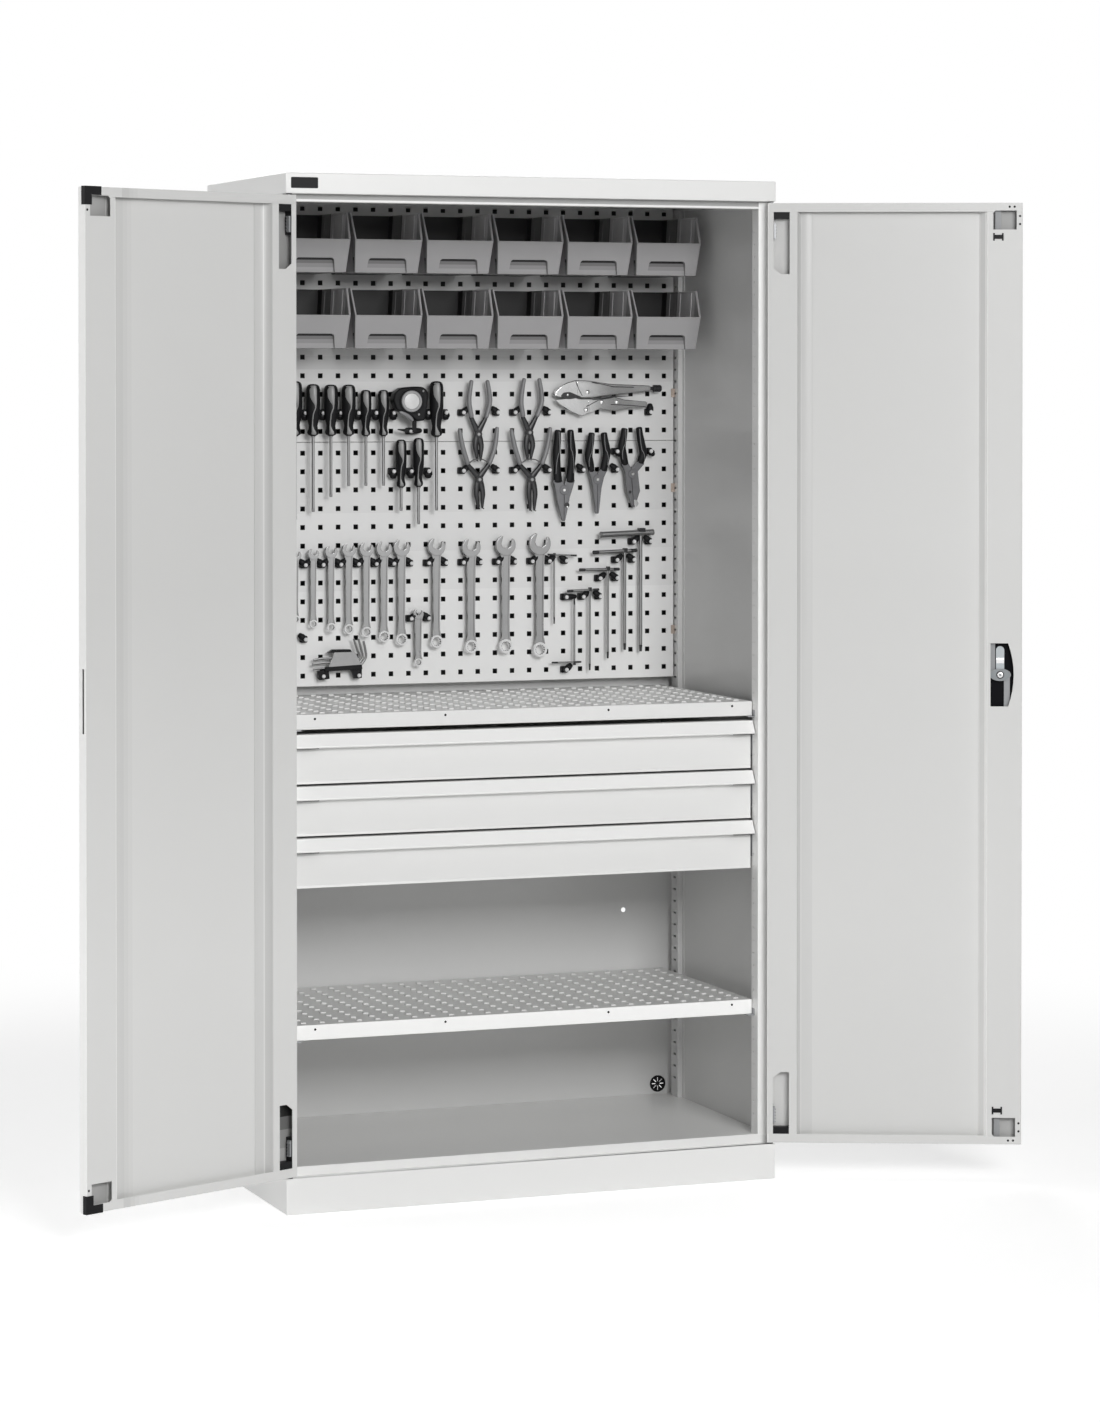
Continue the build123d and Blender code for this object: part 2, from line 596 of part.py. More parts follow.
def corner_guard(side):
    """Black guard that wraps the free corner of the left door."""
    x1 = DOOR_WIDTH + GUARD_T
    z1 = GUARD_T
    depth = (DOOR_THICKNESS - GUARD_WRAP, DOOR_THICKNESS + GUARD_T)
    face = (DOOR_THICKNESS, DOOR_THICKNESS + GUARD_T)
    guard = block((DOOR_WIDTH - GUARD_ARM, x1), face, (-GUARD_ARM_HIGH, z1))
    guard += block((DOOR_WIDTH - GUARD_LEG, x1), face, (-GUARD_LEG_HIGH, z1))
    guard += block((DOOR_WIDTH - GUARD_ARM, x1), depth, (0, z1))
    guard += block((DOOR_WIDTH, x1), depth, (-GUARD_LEG_HIGH, z1))
    return Pos(0, 0, SHEET if side == UP else -SHEET) * at_door_end(guard, side)


# ---- lock, in the right door ----
def lock_outline(edges, half):
    """D-shaped outline: straight towards the hinge, bulging towards the free edge."""
    flat_x, corner_x, bulge_x = (DOOR_WIDTH - edge for edge in edges)
    low, high = LOCK_HEIGHT - half, LOCK_HEIGHT + half
    sides = Polyline((corner_x, 0, low), (flat_x, 0, low), (flat_x, 0, high), (corner_x, 0, high))
    bulge = ThreePointArc((corner_x, 0, high), (bulge_x, 0, LOCK_HEIGHT), (corner_x, 0, low))
    return make_face([*sides.edges(), bulge])


def lock_prism(edges, half, y):
    """Solid of the D-shaped outline between two depths."""
    face = lock_outline(edges, half)
    return extrude(face, amount=y[1] - y[0], dir=(0, 1, 0)).moved(Pos(0, y[0], 0))


def lock_x():
    """Lock axis, from the hinge edge."""
    return DOOR_WIDTH - LOCK_IN


def rod_path(shift, sign):
    """Side-stepped centre line of a rod, from the lock's axis towards the door's end."""
    x = DOOR_WIDTH - ROD_IN
    jog0, jog1 = ROD_JOG
    end = (DOOR_TOP if sign > 0 else DOOR_BOTTOM) - sign * ROD_REST_BACK
    start = LOCK_HEIGHT - sign * CAM_HIGH / 4
    return [(x + shift, start), (x + shift, LOCK_HEIGHT + sign * jog0),
            (x, LOCK_HEIGHT + sign * jog1), (x, end)]


def rod(shift, sign):
    """Flat lock rod with a pin under the cam plate."""
    path = rod_path(shift, sign)
    half = ROD_WIDE / 2
    outline = [(x - half, z) for x, z in path] + [(x + half, z) for x, z in reversed(path)]
    bar = flat(outline, ROD_LAYER)
    pin_y = (ROD_LAYER[1], CAM_LAYER[0] - RAIL_GAP)
    return bar + across(ROD_PIN_R, path[0][0], LOCK_HEIGHT, pin_y)


def rod_gap(shift, sign):
    """Room that a rod needs through the lock case's wall."""
    x = DOOR_WIDTH - ROD_IN + shift
    half = ROD_WIDE / 2 + ROD_CLEAR
    z = sorted((LOCK_HEIGHT + sign * LOCK_CASE_HALF * 0.5, LOCK_HEIGHT + sign * (LOCK_CASE_HALF + 1)))
    return block((x - half, x + half), (ROD_LAYER[0] - ROD_CLEAR, ROD_LAYER[1] + ROD_CLEAR), z)


def lock_housing():
    """Black lock case in the door, its neck through the skin and the outer plate."""
    under = DOOR_THICKNESS - SHEET
    case = lock_prism(LOCK_CASE, LOCK_CASE_HALF, (SHEET, under))
    wall = LOCK_CASE_WALL
    inner = (LOCK_CASE[0] - wall, LOCK_CASE[1] + wall, LOCK_CASE[2] + wall)
    case -= lock_prism(inner, LOCK_CASE_HALF - wall, (SHEET + LOCK_CASE_FLOOR, under + 1))
    case -= rod_gap(UPPER_ROD_SHIFT, 1) + rod_gap(LOWER_ROD_SHIFT, -1)
    case -= block((lock_x(), DOOR_WIDTH), STRIKE_LAYER,
                  (LOCK_HEIGHT - LEVER_WIDE, LOCK_HEIGHT + LEVER_LONG))
    x = lock_x()
    case += across(PLATE_NECK_R, x, LOCK_HEIGHT, (-PLATE_T, SHEET))
    plate = block((x - PLATE_WIDE / 2, x + PLATE_WIDE / 2), (-PLATE_T, 0),
                  (LOCK_HEIGHT - PLATE_HIGH + HUB_R * 1.5, LOCK_HEIGHT + HUB_R * 1.5))
    case += fillet(plate.edges().filter_by(Axis.Y), PLATE_WIDE * 0.35)
    return case - across(SHAFT_R + RUN_CLEAR, x, LOCK_HEIGHT, (-PLATE_T - 1, under))


def swing_handle():
    """Outer handle: hub, hanging lever and the shaft that carries the cam."""
    x = lock_x()
    y0 = -PLATE_T - RAIL_GAP
    hub = across(HUB_R, x, LOCK_HEIGHT, (y0 - HUB_HIGH, y0))
    half, depth = HANDLE_WIDE / 2, (y0 - HUB_HIGH, y0 - HUB_HIGH + HANDLE_T)
    lever = block((x - half, x + half), depth, (LOCK_HEIGHT - HANDLE_LONG, LOCK_HEIGHT))
    lever = fillet(lever.edges().filter_by(Axis.Y).group_by(Axis.Z)[0], HANDLE_WIDE * 0.45)
    key_room = (y0 - HUB_HIGH - 1, y0 - HUB_HIGH + KEY_DEEP)
    body = hub + lever - across(KEY_R + RUN_CLEAR, x, LOCK_HEIGHT, key_room)
    return body + across(SHAFT_R, x, LOCK_HEIGHT, (y0, CAM_LAYER[1]))


def key_cylinder():
    """Cylinder plug in the handle's hub, with its key slot."""
    x = lock_x()
    y0 = -PLATE_T - RAIL_GAP - HUB_HIGH
    plug = across(KEY_R, x, LOCK_HEIGHT, (y0 - 0.5, y0 + KEY_DEEP))
    wide, high, deep = KEY_SLOT
    z = (LOCK_HEIGHT - high / 2, LOCK_HEIGHT + high / 2)
    return plug - block((x - wide / 2, x + wide / 2), (y0 - 1, y0 + deep), z)


def cam_lever():
    """Cam lever that locks into the left door, the cam plate on it and the fixing screw."""
    x, z = lock_x(), LOCK_HEIGHT
    half = LEVER_WIDE / 2
    lever = block((x - half, x + half), LEVER_LAYER, (z, z + LEVER_LONG - half))
    lever += across(half, x, z + LEVER_LONG - half, LEVER_LAYER) + across(half, x, z, LEVER_LAYER)
    lever -= across(SHAFT_R, x, z, LEVER_LAYER)
    face = Pos(x, CAM_LAYER[0], z) * Rot(-90, 0, 0) * Ellipse(CAM_LONG / 2, CAM_HIGH / 2)
    plate = extrude(face, amount=CAM_LAYER[1] - CAM_LAYER[0], dir=(0, 1, 0))
    plate += across(SHAFT_R + 2, x, z, (LEVER_LAYER[1], CAM_LAYER[0]))
    plate -= across(SHAFT_R, x, z, (LEVER_LAYER[1], CAM_LAYER[1]))
    head = Pos(x, CAM_LAYER[1], z) * Rot(-90, 0, 0) * RegularPolygon(SCREW_R, 6)
    screw = extrude(head, amount=SCREW_HIGH, dir=(0, 1, 0))
    return [lever, plate, screw]


def rod_guide(sign):
    """Guide that clips into the lock channel and holds a rod."""
    x = DOOR_WIDTH - ROD_IN
    end = DOOR_TOP if sign > 0 else DOOR_BOTTOM
    z = end - sign * GUIDE_DOWN
    wide, high, waist = GUIDE_WIDE / 2, GUIDE_HIGH / 2, GUIDE_WAIST / 2
    out = (DOOR_THICKNESS, DOOR_THICKNESS + GUIDE_PLATE)
    foot = wide * 0.3
    guide = block((x - wide, x + wide), out, (z - waist, z + waist))
    guide += block((x - wide, x - wide + foot), out, (z - high, z + high))
    guide += block((x + wide - foot, x + wide), out, (z - high, z + high))
    body = (x - ROD_WIDE / 2 - GUIDE_WALL, x + ROD_WIDE / 2 + GUIDE_WALL)
    guide += block((x - waist, x + waist), (DOOR_THICKNESS - SHEET, DOOR_THICKNESS), (z - waist, z + waist))
    guide += block(body, (ROD_LAYER[0] - GUIDE_WALL, DOOR_THICKNESS - SHEET), (z - high, z + high))
    return guide - rod_room(z - high - 1, z + high + 1)


def rod_room(z0, z1):
    """Room that a rod needs at the door's ends."""
    x = DOOR_WIDTH - ROD_IN
    half = ROD_WIDE / 2 + ROD_CLEAR
    return block((x - half, x + half), (ROD_LAYER[0] - ROD_CLEAR, ROD_LAYER[1] + ROD_CLEAR), (z0, z1))


def right_skin():
    """Right door's skin: holes for the rods' ends and the lock's neck."""
    skin = door_skin()
    skin -= rod_room(DOOR_TOP - SHEET - 1, DOOR_TOP + 1)
    skin -= rod_room(DOOR_BOTTOM - 1, DOOR_BOTTOM + SHEET + 1)
    return skin - across(PLATE_NECK_R, lock_x(), LOCK_HEIGHT, (-1, SHEET))


def right_lock_channel():
    """Right door's lock channel: the lock window and the guides' holes."""
    shape = lock_channel()
    shape -= lock_prism(LOCK_WINDOW, LOCK_WINDOW_HALF, (DOOR_THICKNESS - SHEET - 1, DOOR_THICKNESS + 1))
    waist = GUIDE_WAIST / 2
    x = DOOR_WIDTH - ROD_IN
    for z in (DOOR_TOP - GUIDE_DOWN, DOOR_BOTTOM + GUIDE_DOWN):
        shape -= block((x - waist, x + waist), (DOOR_THICKNESS - SHEET - 1, DOOR_THICKNESS + 1),
                       (z - waist, z + waist))
    return shape


# ---- drawers ----
def rail_layer(member):
    """Distance of a rail member's outer face from the cabinet's side."""
    return POST_WIDTH + member * (RAIL_T + RAIL_GAP)


def rail_half(member):
    """Half height of a rail member."""
    return RAIL_HALF - member * (RAIL_T + RAIL_GAP)


def rail_section(member):
    """C-shaped left rail member, open to the middle, about z = 0."""
    x = LEFT + rail_layer(member)
    half = rail_half(member)
    y = (FRONT + RAIL_FRONT_BACK, FRONT + RAIL_FRONT_BACK + RAIL_LONG)
    deep = RAIL_DEEP + member * (RAIL_STEP - RAIL_T - RAIL_GAP)
    rail = block((x, x + deep), y, (-half, half))
    return rail - block((x + RAIL_T, x + deep), y, (RAIL_T - half, half - RAIL_T))


def box_side():
    """Half width of a drawer box, to its outer face."""
    return WIDTH / 2 - rail_layer(2) - RAIL_DEEP - RAIL_STEP


def fixed_rail():
    """Left fixed member with its tab on the front post and its spacer on the rear post."""
    x = LEFT + rail_layer(0)
    half = rail_half(0)
    back = BODY_FRONT + POST_RETURN
    rail = rail_section(0)
    rail += block((x, x + RAIL_T), (back - RAIL_TAB, FRONT + RAIL_FRONT_BACK), (-half, half))
    rear = FRONT + RAIL_FRONT_BACK + RAIL_LONG
    spacer = block((LEFT + REAR_POST_IN, x), (REAR_POST_FRONT, rear), (-half * 0.6, half * 0.6))
    return rail + spacer


def inner_rail():
    """Left member on the drawer box: a flat bar inside the middle member."""
    half = rail_half(2)
    y = (FRONT + RAIL_FRONT_BACK, FRONT + RAIL_FRONT_BACK + RAIL_LONG)
    return block((LEFT + rail_layer(2), -box_side()), y, (-half, half))


def rail_height(top):
    """Height of a drawer's rails."""
    return top - DRAWER_FRONT_HIGH + RAIL_LEVEL


def drawer_box(top):
    """Drawer: open box with a folded front pan."""
    low = top - DRAWER_FRONT_HIGH
    face = WIDTH / 2 - POST_WIDTH - DRAWER_SIDE_GAP
    pan_back = FACE_Y + DRAWER_PAN
    pan = block((-face, face), (FACE_Y, pan_back), (low, top))
    inside = (-face + SHEET, face - SHEET)
    pan -= block(inside, (FACE_Y + SHEET, pan_back), (low + SHEET, top - SHEET))
    half, z = box_side(), (low + BOX_RISE, low + BOX_RISE + BOX_HIGH)
    y = (pan_back - SHEET, FRONT + BOX_BACK)
    box = block((-half, half), y, z)
    box -= block((-half + SHEET, half - SHEET), (y[0] + SHEET, y[1] - SHEET), (z[0] + SHEET, z[1]))
    web = block((-half, half), (FACE_Y + SHEET, pan_back), (z[0], z[0] + SHEET))
    return pan + box + web


def drawer_handle(top):
    """Grip profile along the top of a drawer front: a sloping face with an undercut."""
    half = WIDTH / 2 - POST_WIDTH - HANDLE_SIDE_GAP
    y = FACE_Y
    outline = [(y, top), (y - 7, top), (y - 8.5, top - 4), (y - 19, top - 21.5), (y - 19.3, top - 24.5),
               (y - 17.2, top - 26.3), (y - 15, top - 25.2), (y - 6.5, top - 8), (y, top - 8)]
    return along_x(outline, (-half, half))


# ---- shelves ----
def shelf_x():
    """Half width of a shelf."""
    return WIDTH / 2 - POST_WIDTH - SHELF_SIDE_GAP


def shelf(top):
    """Shelf of folded sheet: top, skirts on four sides and hems below."""
    half = shelf_x()
    y, z = (FRONT + SHELF_FRONT_BACK, FRONT + SHELF_REAR_BACK), (top - SHELF_HIGH, top)
    tray = block((-half, half), y, z)
    tray -= block((-half + SHEET, half - SHEET), (y[0] + SHEET, y[1] - SHEET), (z[0] + SHEET, z[1] - SHEET))
    hem = SHELF_HEM
    tray -= block((-half + hem, half - hem), (y[0] + hem, y[1] - hem), (z[0], z[0] + SHEET))
    for inset in SHELF_HOLES:
        for x in (inset - half, half - inset):
            tray -= across(SHELF_HOLE_R, x, top - SHELF_HOLE_DOWN, (y[0] - 1, y[0] + SHEET + 1))
    return tray


def shelf_clip(post_x, y, top):
    """Left clip: a plate on the post and a tab under the shelf's hem."""
    under = top - SHELF_HIGH
    reach = -shelf_x() + CLIP_REACH
    tab = block((post_x, reach), y, (under - CLIP_T, under))
    return tab + block((post_x, post_x + SHELF_SIDE_GAP * 0.7), y, (under - CLIP_T, under + CLIP_HIGH))


def shelf_clips():
    """Clips of both shelves, at the front and the rear posts."""
    clips = []
    post_back = BODY_FRONT + POST_RETURN
    front_y = (post_back - CLIP_WIDE, post_back + CLIP_WIDE * 0.8)
    rear_y = (REAR_POST_FRONT + REAR_POST_WIDTH / 2 - CLIP_WIDE / 2,
              REAR_POST_FRONT + REAR_POST_WIDTH / 2 + CLIP_WIDE / 2)
    for top in (UPPER_SHELF_TOP, LOWER_SHELF_TOP):
        clips += pair(shelf_clip(LEFT + POST_WIDTH, front_y, top))
        clips += pair(shelf_clip(LEFT + REAR_POST_IN, rear_y, top))
    return clips


# ---- tool wall ----
def panel_holes():
    """Square holes of one perforated panel, about its middle."""
    x0, z0 = (HOLE_COLUMNS - 1) / 2, (HOLE_ROWS - 1) / 2
    return [((column - x0) * HOLE_PITCH, (row - z0) * HOLE_PITCH, HOLE, HOLE)
            for column in range(HOLE_COLUMNS) for row in range(HOLE_ROWS)]


def perforated_panel(bottom):
    """Perforated panel with four edges folded back."""
    high = PANEL_HIGH
    sheet = pierced(PANEL_WIDE, high, PANEL_T, panel_holes())
    face = Pos(0, PANEL_FACE + PANEL_T, bottom + high / 2) * Rot(90, 0, 0) * sheet
    half, y = PANEL_WIDE / 2, (PANEL_FACE + PANEL_T, PANEL_FACE + PANEL_EDGE)
    rim = block((-half, half), y, (bottom, bottom + high))
    rim -= block((-half + PANEL_T, half - PANEL_T), y, (bottom + PANEL_T, bottom + high - PANEL_T))
    return face + rim


def side_clip(z):
    """Clip that hooks a panel's right edge to the rear post."""
    half = PANEL_WIDE / 2
    post = WIDTH / 2 - REAR_POST_IN
    y = (PANEL_FACE - CLIP_T, PANEL_FACE)
    height = (z - SIDE_CLIP_HALF, z + SIDE_CLIP_HALF)
    front = block((half - 6, post), y, height)
    return front + block((half + RAIL_GAP, post), (y[0], PANEL_FACE + PANEL_EDGE - 2), height)


def panel_clips():
    """Clips of both perforated panels."""
    clips = []
    for bottom in (LOWER_PANEL_FOOT, PANEL_SEAM):
        for level in SIDE_CLIP_LEVELS:
            clips += pair(side_clip(bottom + level))
    return clips


# ---- bins ----
def bin_slab(z, shrink):
    """Plan of the bin at a height, smaller by a wall thickness on three sides."""
    share = z / BIN_HIGH
    half = (BIN_BASE_WIDE + (BIN_TOP_WIDE - BIN_BASE_WIDE) * share) / 2 - shrink
    rear = half - BIN_REAR_LESS / 2
    front = -BIN_LIP_OUT + BIN_LEAN * (1 - z / BIN_LIP_HIGH) + shrink
    points = [(-half, front, z), (half, front, z), (rear, -shrink, z), (-rear, -shrink, z)]
    return make_face(Polyline(*points, close=True))


def grip_outline(grow):
    """Finger grip in the bin's front, flared towards its foot."""
    half, foot = GRIP_WIDE / 2 + grow, GRIP_WIDE / 2 + GRIP_FLARE + grow
    return [(-foot, -1), (foot, -1), (half, GRIP_HIGH + grow), (-half, GRIP_HIGH + grow)]


def storage_bin():
    """Open-fronted bin, its back at y = 0 and its bottom at z = 0."""
    outer = loft([bin_slab(0, 0), bin_slab(BIN_HIGH, 0)])
    inner = loft([bin_slab(BIN_WALL, BIN_WALL), bin_slab(BIN_HIGH + 1, BIN_WALL)])
    front = (-BIN_LIP_OUT - 20, -BIN_LIP_OUT + BIN_LEAN + GRIP_DEEP)
    recess = flat(grip_outline(0), front)
    cover = flat(grip_outline(BIN_WALL), (front[0], front[1] + BIN_WALL))
    tray = outer - inner + (outer & cover) - recess
    lip, wide, top = -BIN_LIP_OUT, BIN_TOP_WIDE, BIN_HIGH + 0.5
    mouth = [(lip - 20, BIN_LIP_HIGH), (lip, BIN_LIP_HIGH), (lip + BIN_RIM_BACK, top), (lip - 20, top)]
    return tray - along_x(mouth, (-wide, wide))


def bin_row(rise):
    """Bins side by side on the tool wall, starting from its right edge."""
    one, first = storage_bin(), PANEL_WIDE / 2 - BIN_FIRST_IN
    return [Pos(first - i * BIN_PITCH, PANEL_FACE, PANEL_SEAM + rise) * one for i in range(BIN_COUNT)]


# ---- hand tools: they stand off the tool wall by TOOL_GAP, and their places are x and z on a
# wall whose right edge is at TABLE_EDGE and whose panels meet at TABLE_SEAM ----
TABLE_EDGE = 497.0
TABLE_SEAM = 1476.0
TOOL_GAP = 14.0
TOOL_BACK = PANEL_FACE - TOOL_GAP
HOOK_T = 8.0
HOOK_REACH = 27.0
HOOK_HALF = 7.0
HOOK_FOOT = 8.0
HOOK_BALL_R = 4.0
HOOK_BALL_OUT = 8.0
SHAFT_THIN = 3.0
HOOKS = {
    1535.9: (-323, -285, -247, -209, -171, -133, -57, -19, 19, 95, 133, 209, 437),
    1497.9: (-95,),
    1453.5: (361, 437),
    1415.5: (-133, -95, -57, 19, 95, 133, 209, 285, 361),
    1263.5: (399, 437),
    1225.5: (-323, -285, -247, -209, -171, -133, -95, -57, -19, 19, 57, 95, 133, 171, 209, 247,
             361, 399),
    1187.5: (323, 361),
    1149.5: (247, 285, 323),
    1111.5: (-95, -57),
    1073.5: (-323,),
    997.5: (-285, -209, 247),
}
PLAIN_HOOKS = ((323, 1573.9),)  # hidden holders without a stud
SCREWDRIVERS = (               # x, handle's top and foot, tip, handle radius
    (-342, 1601, 1489, 1318, 14.5),
    (-304, 1595, 1489, 1334, 14.5),
    (-266, 1594, 1489, 1364, 14.5),
    (-228, 1594, 1489, 1386, 14.5),
    (-190, 1583, 1488, 1386, 11.5),
    (-152, 1583, 1488, 1386, 11.5),
    (-38, 1601, 1486, 1334, 14.5),
    (-114, 1481, 1382, 1334, 11.5),
    (-76, 1484, 1383, 1306, 11.5),
)
WRENCHES = (                   # x, open head's and ring's heights and radii, shank width
    (-342, 1246, 1115, 11.5, 8.5, 11),
    (-304, 1248, 1105, 11.5, 8.5, 12),
    (-266, 1252, 1097, 13.0, 9.5, 13),
    (-228, 1255, 1093, 14.0, 10.5, 14),
    (-190, 1256, 1086, 15.0, 11.0, 14),
    (-152, 1256, 1076, 16.5, 12.0, 15),
    (-114, 1258, 1069, 17.5, 12.5, 16),
    (-38, 1259, 1063, 18.5, 13.5, 16),
    (38, 1256, 1051, 20.0, 14.0, 18),
    (114, 1260, 1050, 21.5, 15.0, 18),
    (190, 1262, 1041, 23.5, 15.5, 18),
    (-78, 1121, 1021, 11.0, 8.5, 14),
)
WRENCH_T = 8.0
WRENCH_TILT = 15.0
TAPE_OUTLINE = ((-135, 1561), (-122, 1585), (-85, 1590), (-62, 1586), (-59, 1570), (-60, 1552),
                (-65, 1518), (-83, 1518), (-101, 1533), (-124, 1537))
TAPE_T = 30.0
TAPE_DISC = (-95, 1559, 22.0, 1.5)
TAPE_HOOK = ((-83, 1518), (-83, 1496), (-101, 1496), (-101, 1499), (-86, 1499), (-86, 1518))
CIRCLIP_PLIERS = (             # grips' tops, bends and ends, crossing, head's sides, tips
    ((39, 1603), (73, 1603), (33, 1561), (79, 1561), (39, 1525), (70, 1524), (54, 1493),
     (45, 1468), (64, 1468), (52, 1436), (59, 1436)),
    ((155, 1607), (188, 1607), (148, 1561), (194, 1561), (153, 1526), (182, 1526), (167, 1496),
     (157, 1470), (178, 1470), (163, 1437), (170, 1437)),
    ((12, 1502), (95, 1506), (19, 1465), (90, 1465), (31, 1428), (77, 1428), (56, 1399),
     (47, 1371), (67, 1371), (54, 1337), (63, 1337)),
    ((126, 1501), (213, 1505), (134, 1464), (206, 1464), (146, 1427), (194, 1427), (172, 1398),
     (163, 1370), (183, 1370), (169, 1331), (178, 1331)),
)
GRIP_HALF = 5.5
GRIP_T = 11.0
JAW_T = 7.0
PLIERS = (                     # grips' tops, widest points, foot corners, shoulders, jaws, tip
    ((230, 1495), (258, 1495), (219, 1447), (270, 1452), (220, 1386), (241, 1391), (246, 1391),
     (267, 1386), (224, 1378), (263, 1379), (229, 1349), (256, 1358), (243, 1308)),
    ((306, 1489), (333, 1489), (291, 1446), (348, 1452), (300, 1409), (312, 1412), (324, 1414),
     (340, 1410), (304, 1400), (333, 1400), (309, 1377), (327, 1377), (318, 1323)),
    ((380, 1498), (412, 1500), (366, 1463), (430, 1451), (374, 1421), (389, 1427), (408, 1431),
     (423, 1424), (381, 1411), (409, 1411), (385, 1371), (414, 1370), (400, 1336)),
)
PLIER_GRIP_HALF = 8.0
PLIER_GRIP_T = 14.0
PLIER_HEAD_T = 10.0
LOCKING_BODY = ((220, 1570), (228, 1585), (243, 1595), (269, 1603), (300, 1601), (347, 1594),
                (437, 1591), (437, 1581), (353, 1572), (306, 1566), (276, 1566), (262, 1571), (240, 1566))
LOCKING_JAW = ((222, 1562), (240, 1563), (262, 1568), (276, 1563), (306, 1563), (308, 1549),
               (300, 1536), (283, 1528), (258, 1538))
LOCKING_HANDLE = ((306, 1563), (353, 1569), (378, 1562), (428, 1558), (428, 1546), (392, 1545),
                  (360, 1538), (325, 1543), (308, 1549))
LOCKING_T = 11.0
LOCKING_SCREW = (1585.5, 437.0, 462.0, 7.5)
LOCKING_RIVET = (6.0, 289.0, 1564.5)
LOCKING_RIVET_OUT = 2.0
HEX_TRAY = ((-272, 1050), (-224, 1052), (-201, 991), (-272, 993))
HEX_TRAY_T = 9.0
HEX_PANEL = ((-265, 1043), (-217, 1047), (-202, 1019), (-270, 1016))
HEX_PANEL_T = 3.0
HEX_KEYS = (                   # key's radius, then its centre line
    (2.0, ((-218, 1077), (-214, 1052), (-207, 1024), (-202, 1000))),
    (2.6, ((-196, 1067), (-191, 1038), (-197, 1000))),
)
HEX_ENDS = (((-307, 1028), (-272, 1024)), ((-302, 1011), (-272, 1008)))
HEX_END_R = 2.6
HEX_STUD = (-209, 997.5, 4.5)  # a holder's stud passes through the tray here
T_BAR_OUT = 1.0                # cross grips stand this far in front of the tool plane
T_KEYS = (                     # handle's ends and radius, shaft's x, its two ends and radius
    ((321, 1279), (443, 1283), 6.5, 415, (1292, 1032), 3.5),
    ((306, 1242), (406, 1245), 4.0, 379, (1250, 1036), 3.2),
    ((276, 1206), (367, 1206), 3.2, 341, (1212, 1019), 2.5),
    ((249, 1162), (321, 1164), 2.8, 300.5, (1169, 995), 2.2),
    ((215, 1013), (281, 1013), 2.0, 266, (1007, 1147), 2.0),
    ((206, 1239), (271, 1236), 2.0, 221, (1242, 1094), 1.8),
)


def stroke_outline(path, half):
    """Outline of a band of constant width along a path, with mitred corners."""
    sides = ([], [])
    for i, (x, z) in enumerate(path):
        before, after = path[max(i - 1, 0)], path[min(i + 1, len(path) - 1)]
        unit_in, unit_out = unit(before, (x, z)), unit((x, z), after)
        if i == 0:
            unit_in = unit_out
        if i == len(path) - 1:
            unit_out = unit_in
        nx, nz = -(unit_in[1] + unit_out[1]), unit_in[0] + unit_out[0]
        scale = 2 * half / (nx * nx + nz * nz)
        sides[0].append((x + nx * scale, z + nz * scale))
        sides[1].append((x - nx * scale, z - nz * scale))
    return sides[0] + sides[1][::-1]


def unit(start, end):
    """Direction between two points."""
    length = math.dist(start, end)
    if length == 0:
        return (0, 0)
    return ((end[0] - start[0]) / length, (end[1] - start[1]) / length)


def stroke(path, half, thickness):
    """Flat band along a path on the tool wall."""
    return flat(stroke_outline(path, half), (TOOL_BACK - thickness, TOOL_BACK))


def plate(points, thickness):
    """Flat plate on the tool wall."""
    return flat(points, (TOOL_BACK - thickness, TOOL_BACK))


def wire_rod(radius, start, end):
    """Round rod between two places on the tool wall, its back at the tool plane."""
    length = math.dist(start, end)
    tilt = math.degrees(math.atan2(end[0] - start[0], end[1] - start[1]))
    rod_shape = Rot(0, tilt, 0) * Pos(0, 0, length / 2) * Cylinder(radius, length)
    return Pos(start[0], TOOL_BACK - radius, start[1]) * rod_shape


def hook(x, z):
    """Holder in a hole of the tool wall: a foot and an arm behind the tool."""
    depth = (TOOL_BACK, TOOL_BACK + HOOK_T)
    arm = block((x - HOOK_REACH, x + HOOK_FOOT), depth, (z - HOOK_HALF, z + HOOK_HALF))
    half = HOOK_FOOT
    foot = block((x - half, x + half), (TOOL_BACK + HOOK_T, PANEL_FACE), (z - half, z + half))
    return arm + foot


def studded_hook(x, z):
    """Holder with a ball-ended stud beside the tool."""
    stud = across(HOOK_BALL_R / 2, x, z, (TOOL_BACK - HOOK_BALL_OUT, TOOL_BACK))
    return hook(x, z) + stud + Pos(x, TOOL_BACK - HOOK_BALL_OUT, z) * Sphere(HOOK_BALL_R)


def screwdriver(x, top, foot, tip, radius):
    """Screwdriver with a waisted handle, hanging tip down."""
    long = top - foot
    half = [(0, top), (0.7 * radius, top), (0.95 * radius, top - 0.05 * long), (radius, top - 0.3 * long),
            (radius, top - 0.63 * long), (0.6 * radius, top - 0.78 * long),
            (0.85 * radius, top - 0.9 * long), (0.5 * radius, foot), (SHAFT_THIN, foot),
            (SHAFT_THIN, tip + 4), (SHAFT_THIN * 0.6, tip), (0, tip)]
    face = make_face(Polyline(*[(r, 0, z) for r, z in half], close=True))
    return Pos(x, TOOL_BACK - radius, 0) * revolve(face, Axis.Z)


def tape_measure():
    """Tape measure: case, disc and the hook below its mouth."""
    x, z, radius, out = TAPE_DISC
    case = plate(TAPE_OUTLINE, TAPE_T)
    disc = across(radius, x, z, (TOOL_BACK - TAPE_T - out, TOOL_BACK - TAPE_T))
    tongue = flat(TAPE_HOOK, (TOOL_BACK - TAPE_T * 0.75, TOOL_BACK - TAPE_T * 0.42))
    return [case, disc, tongue]


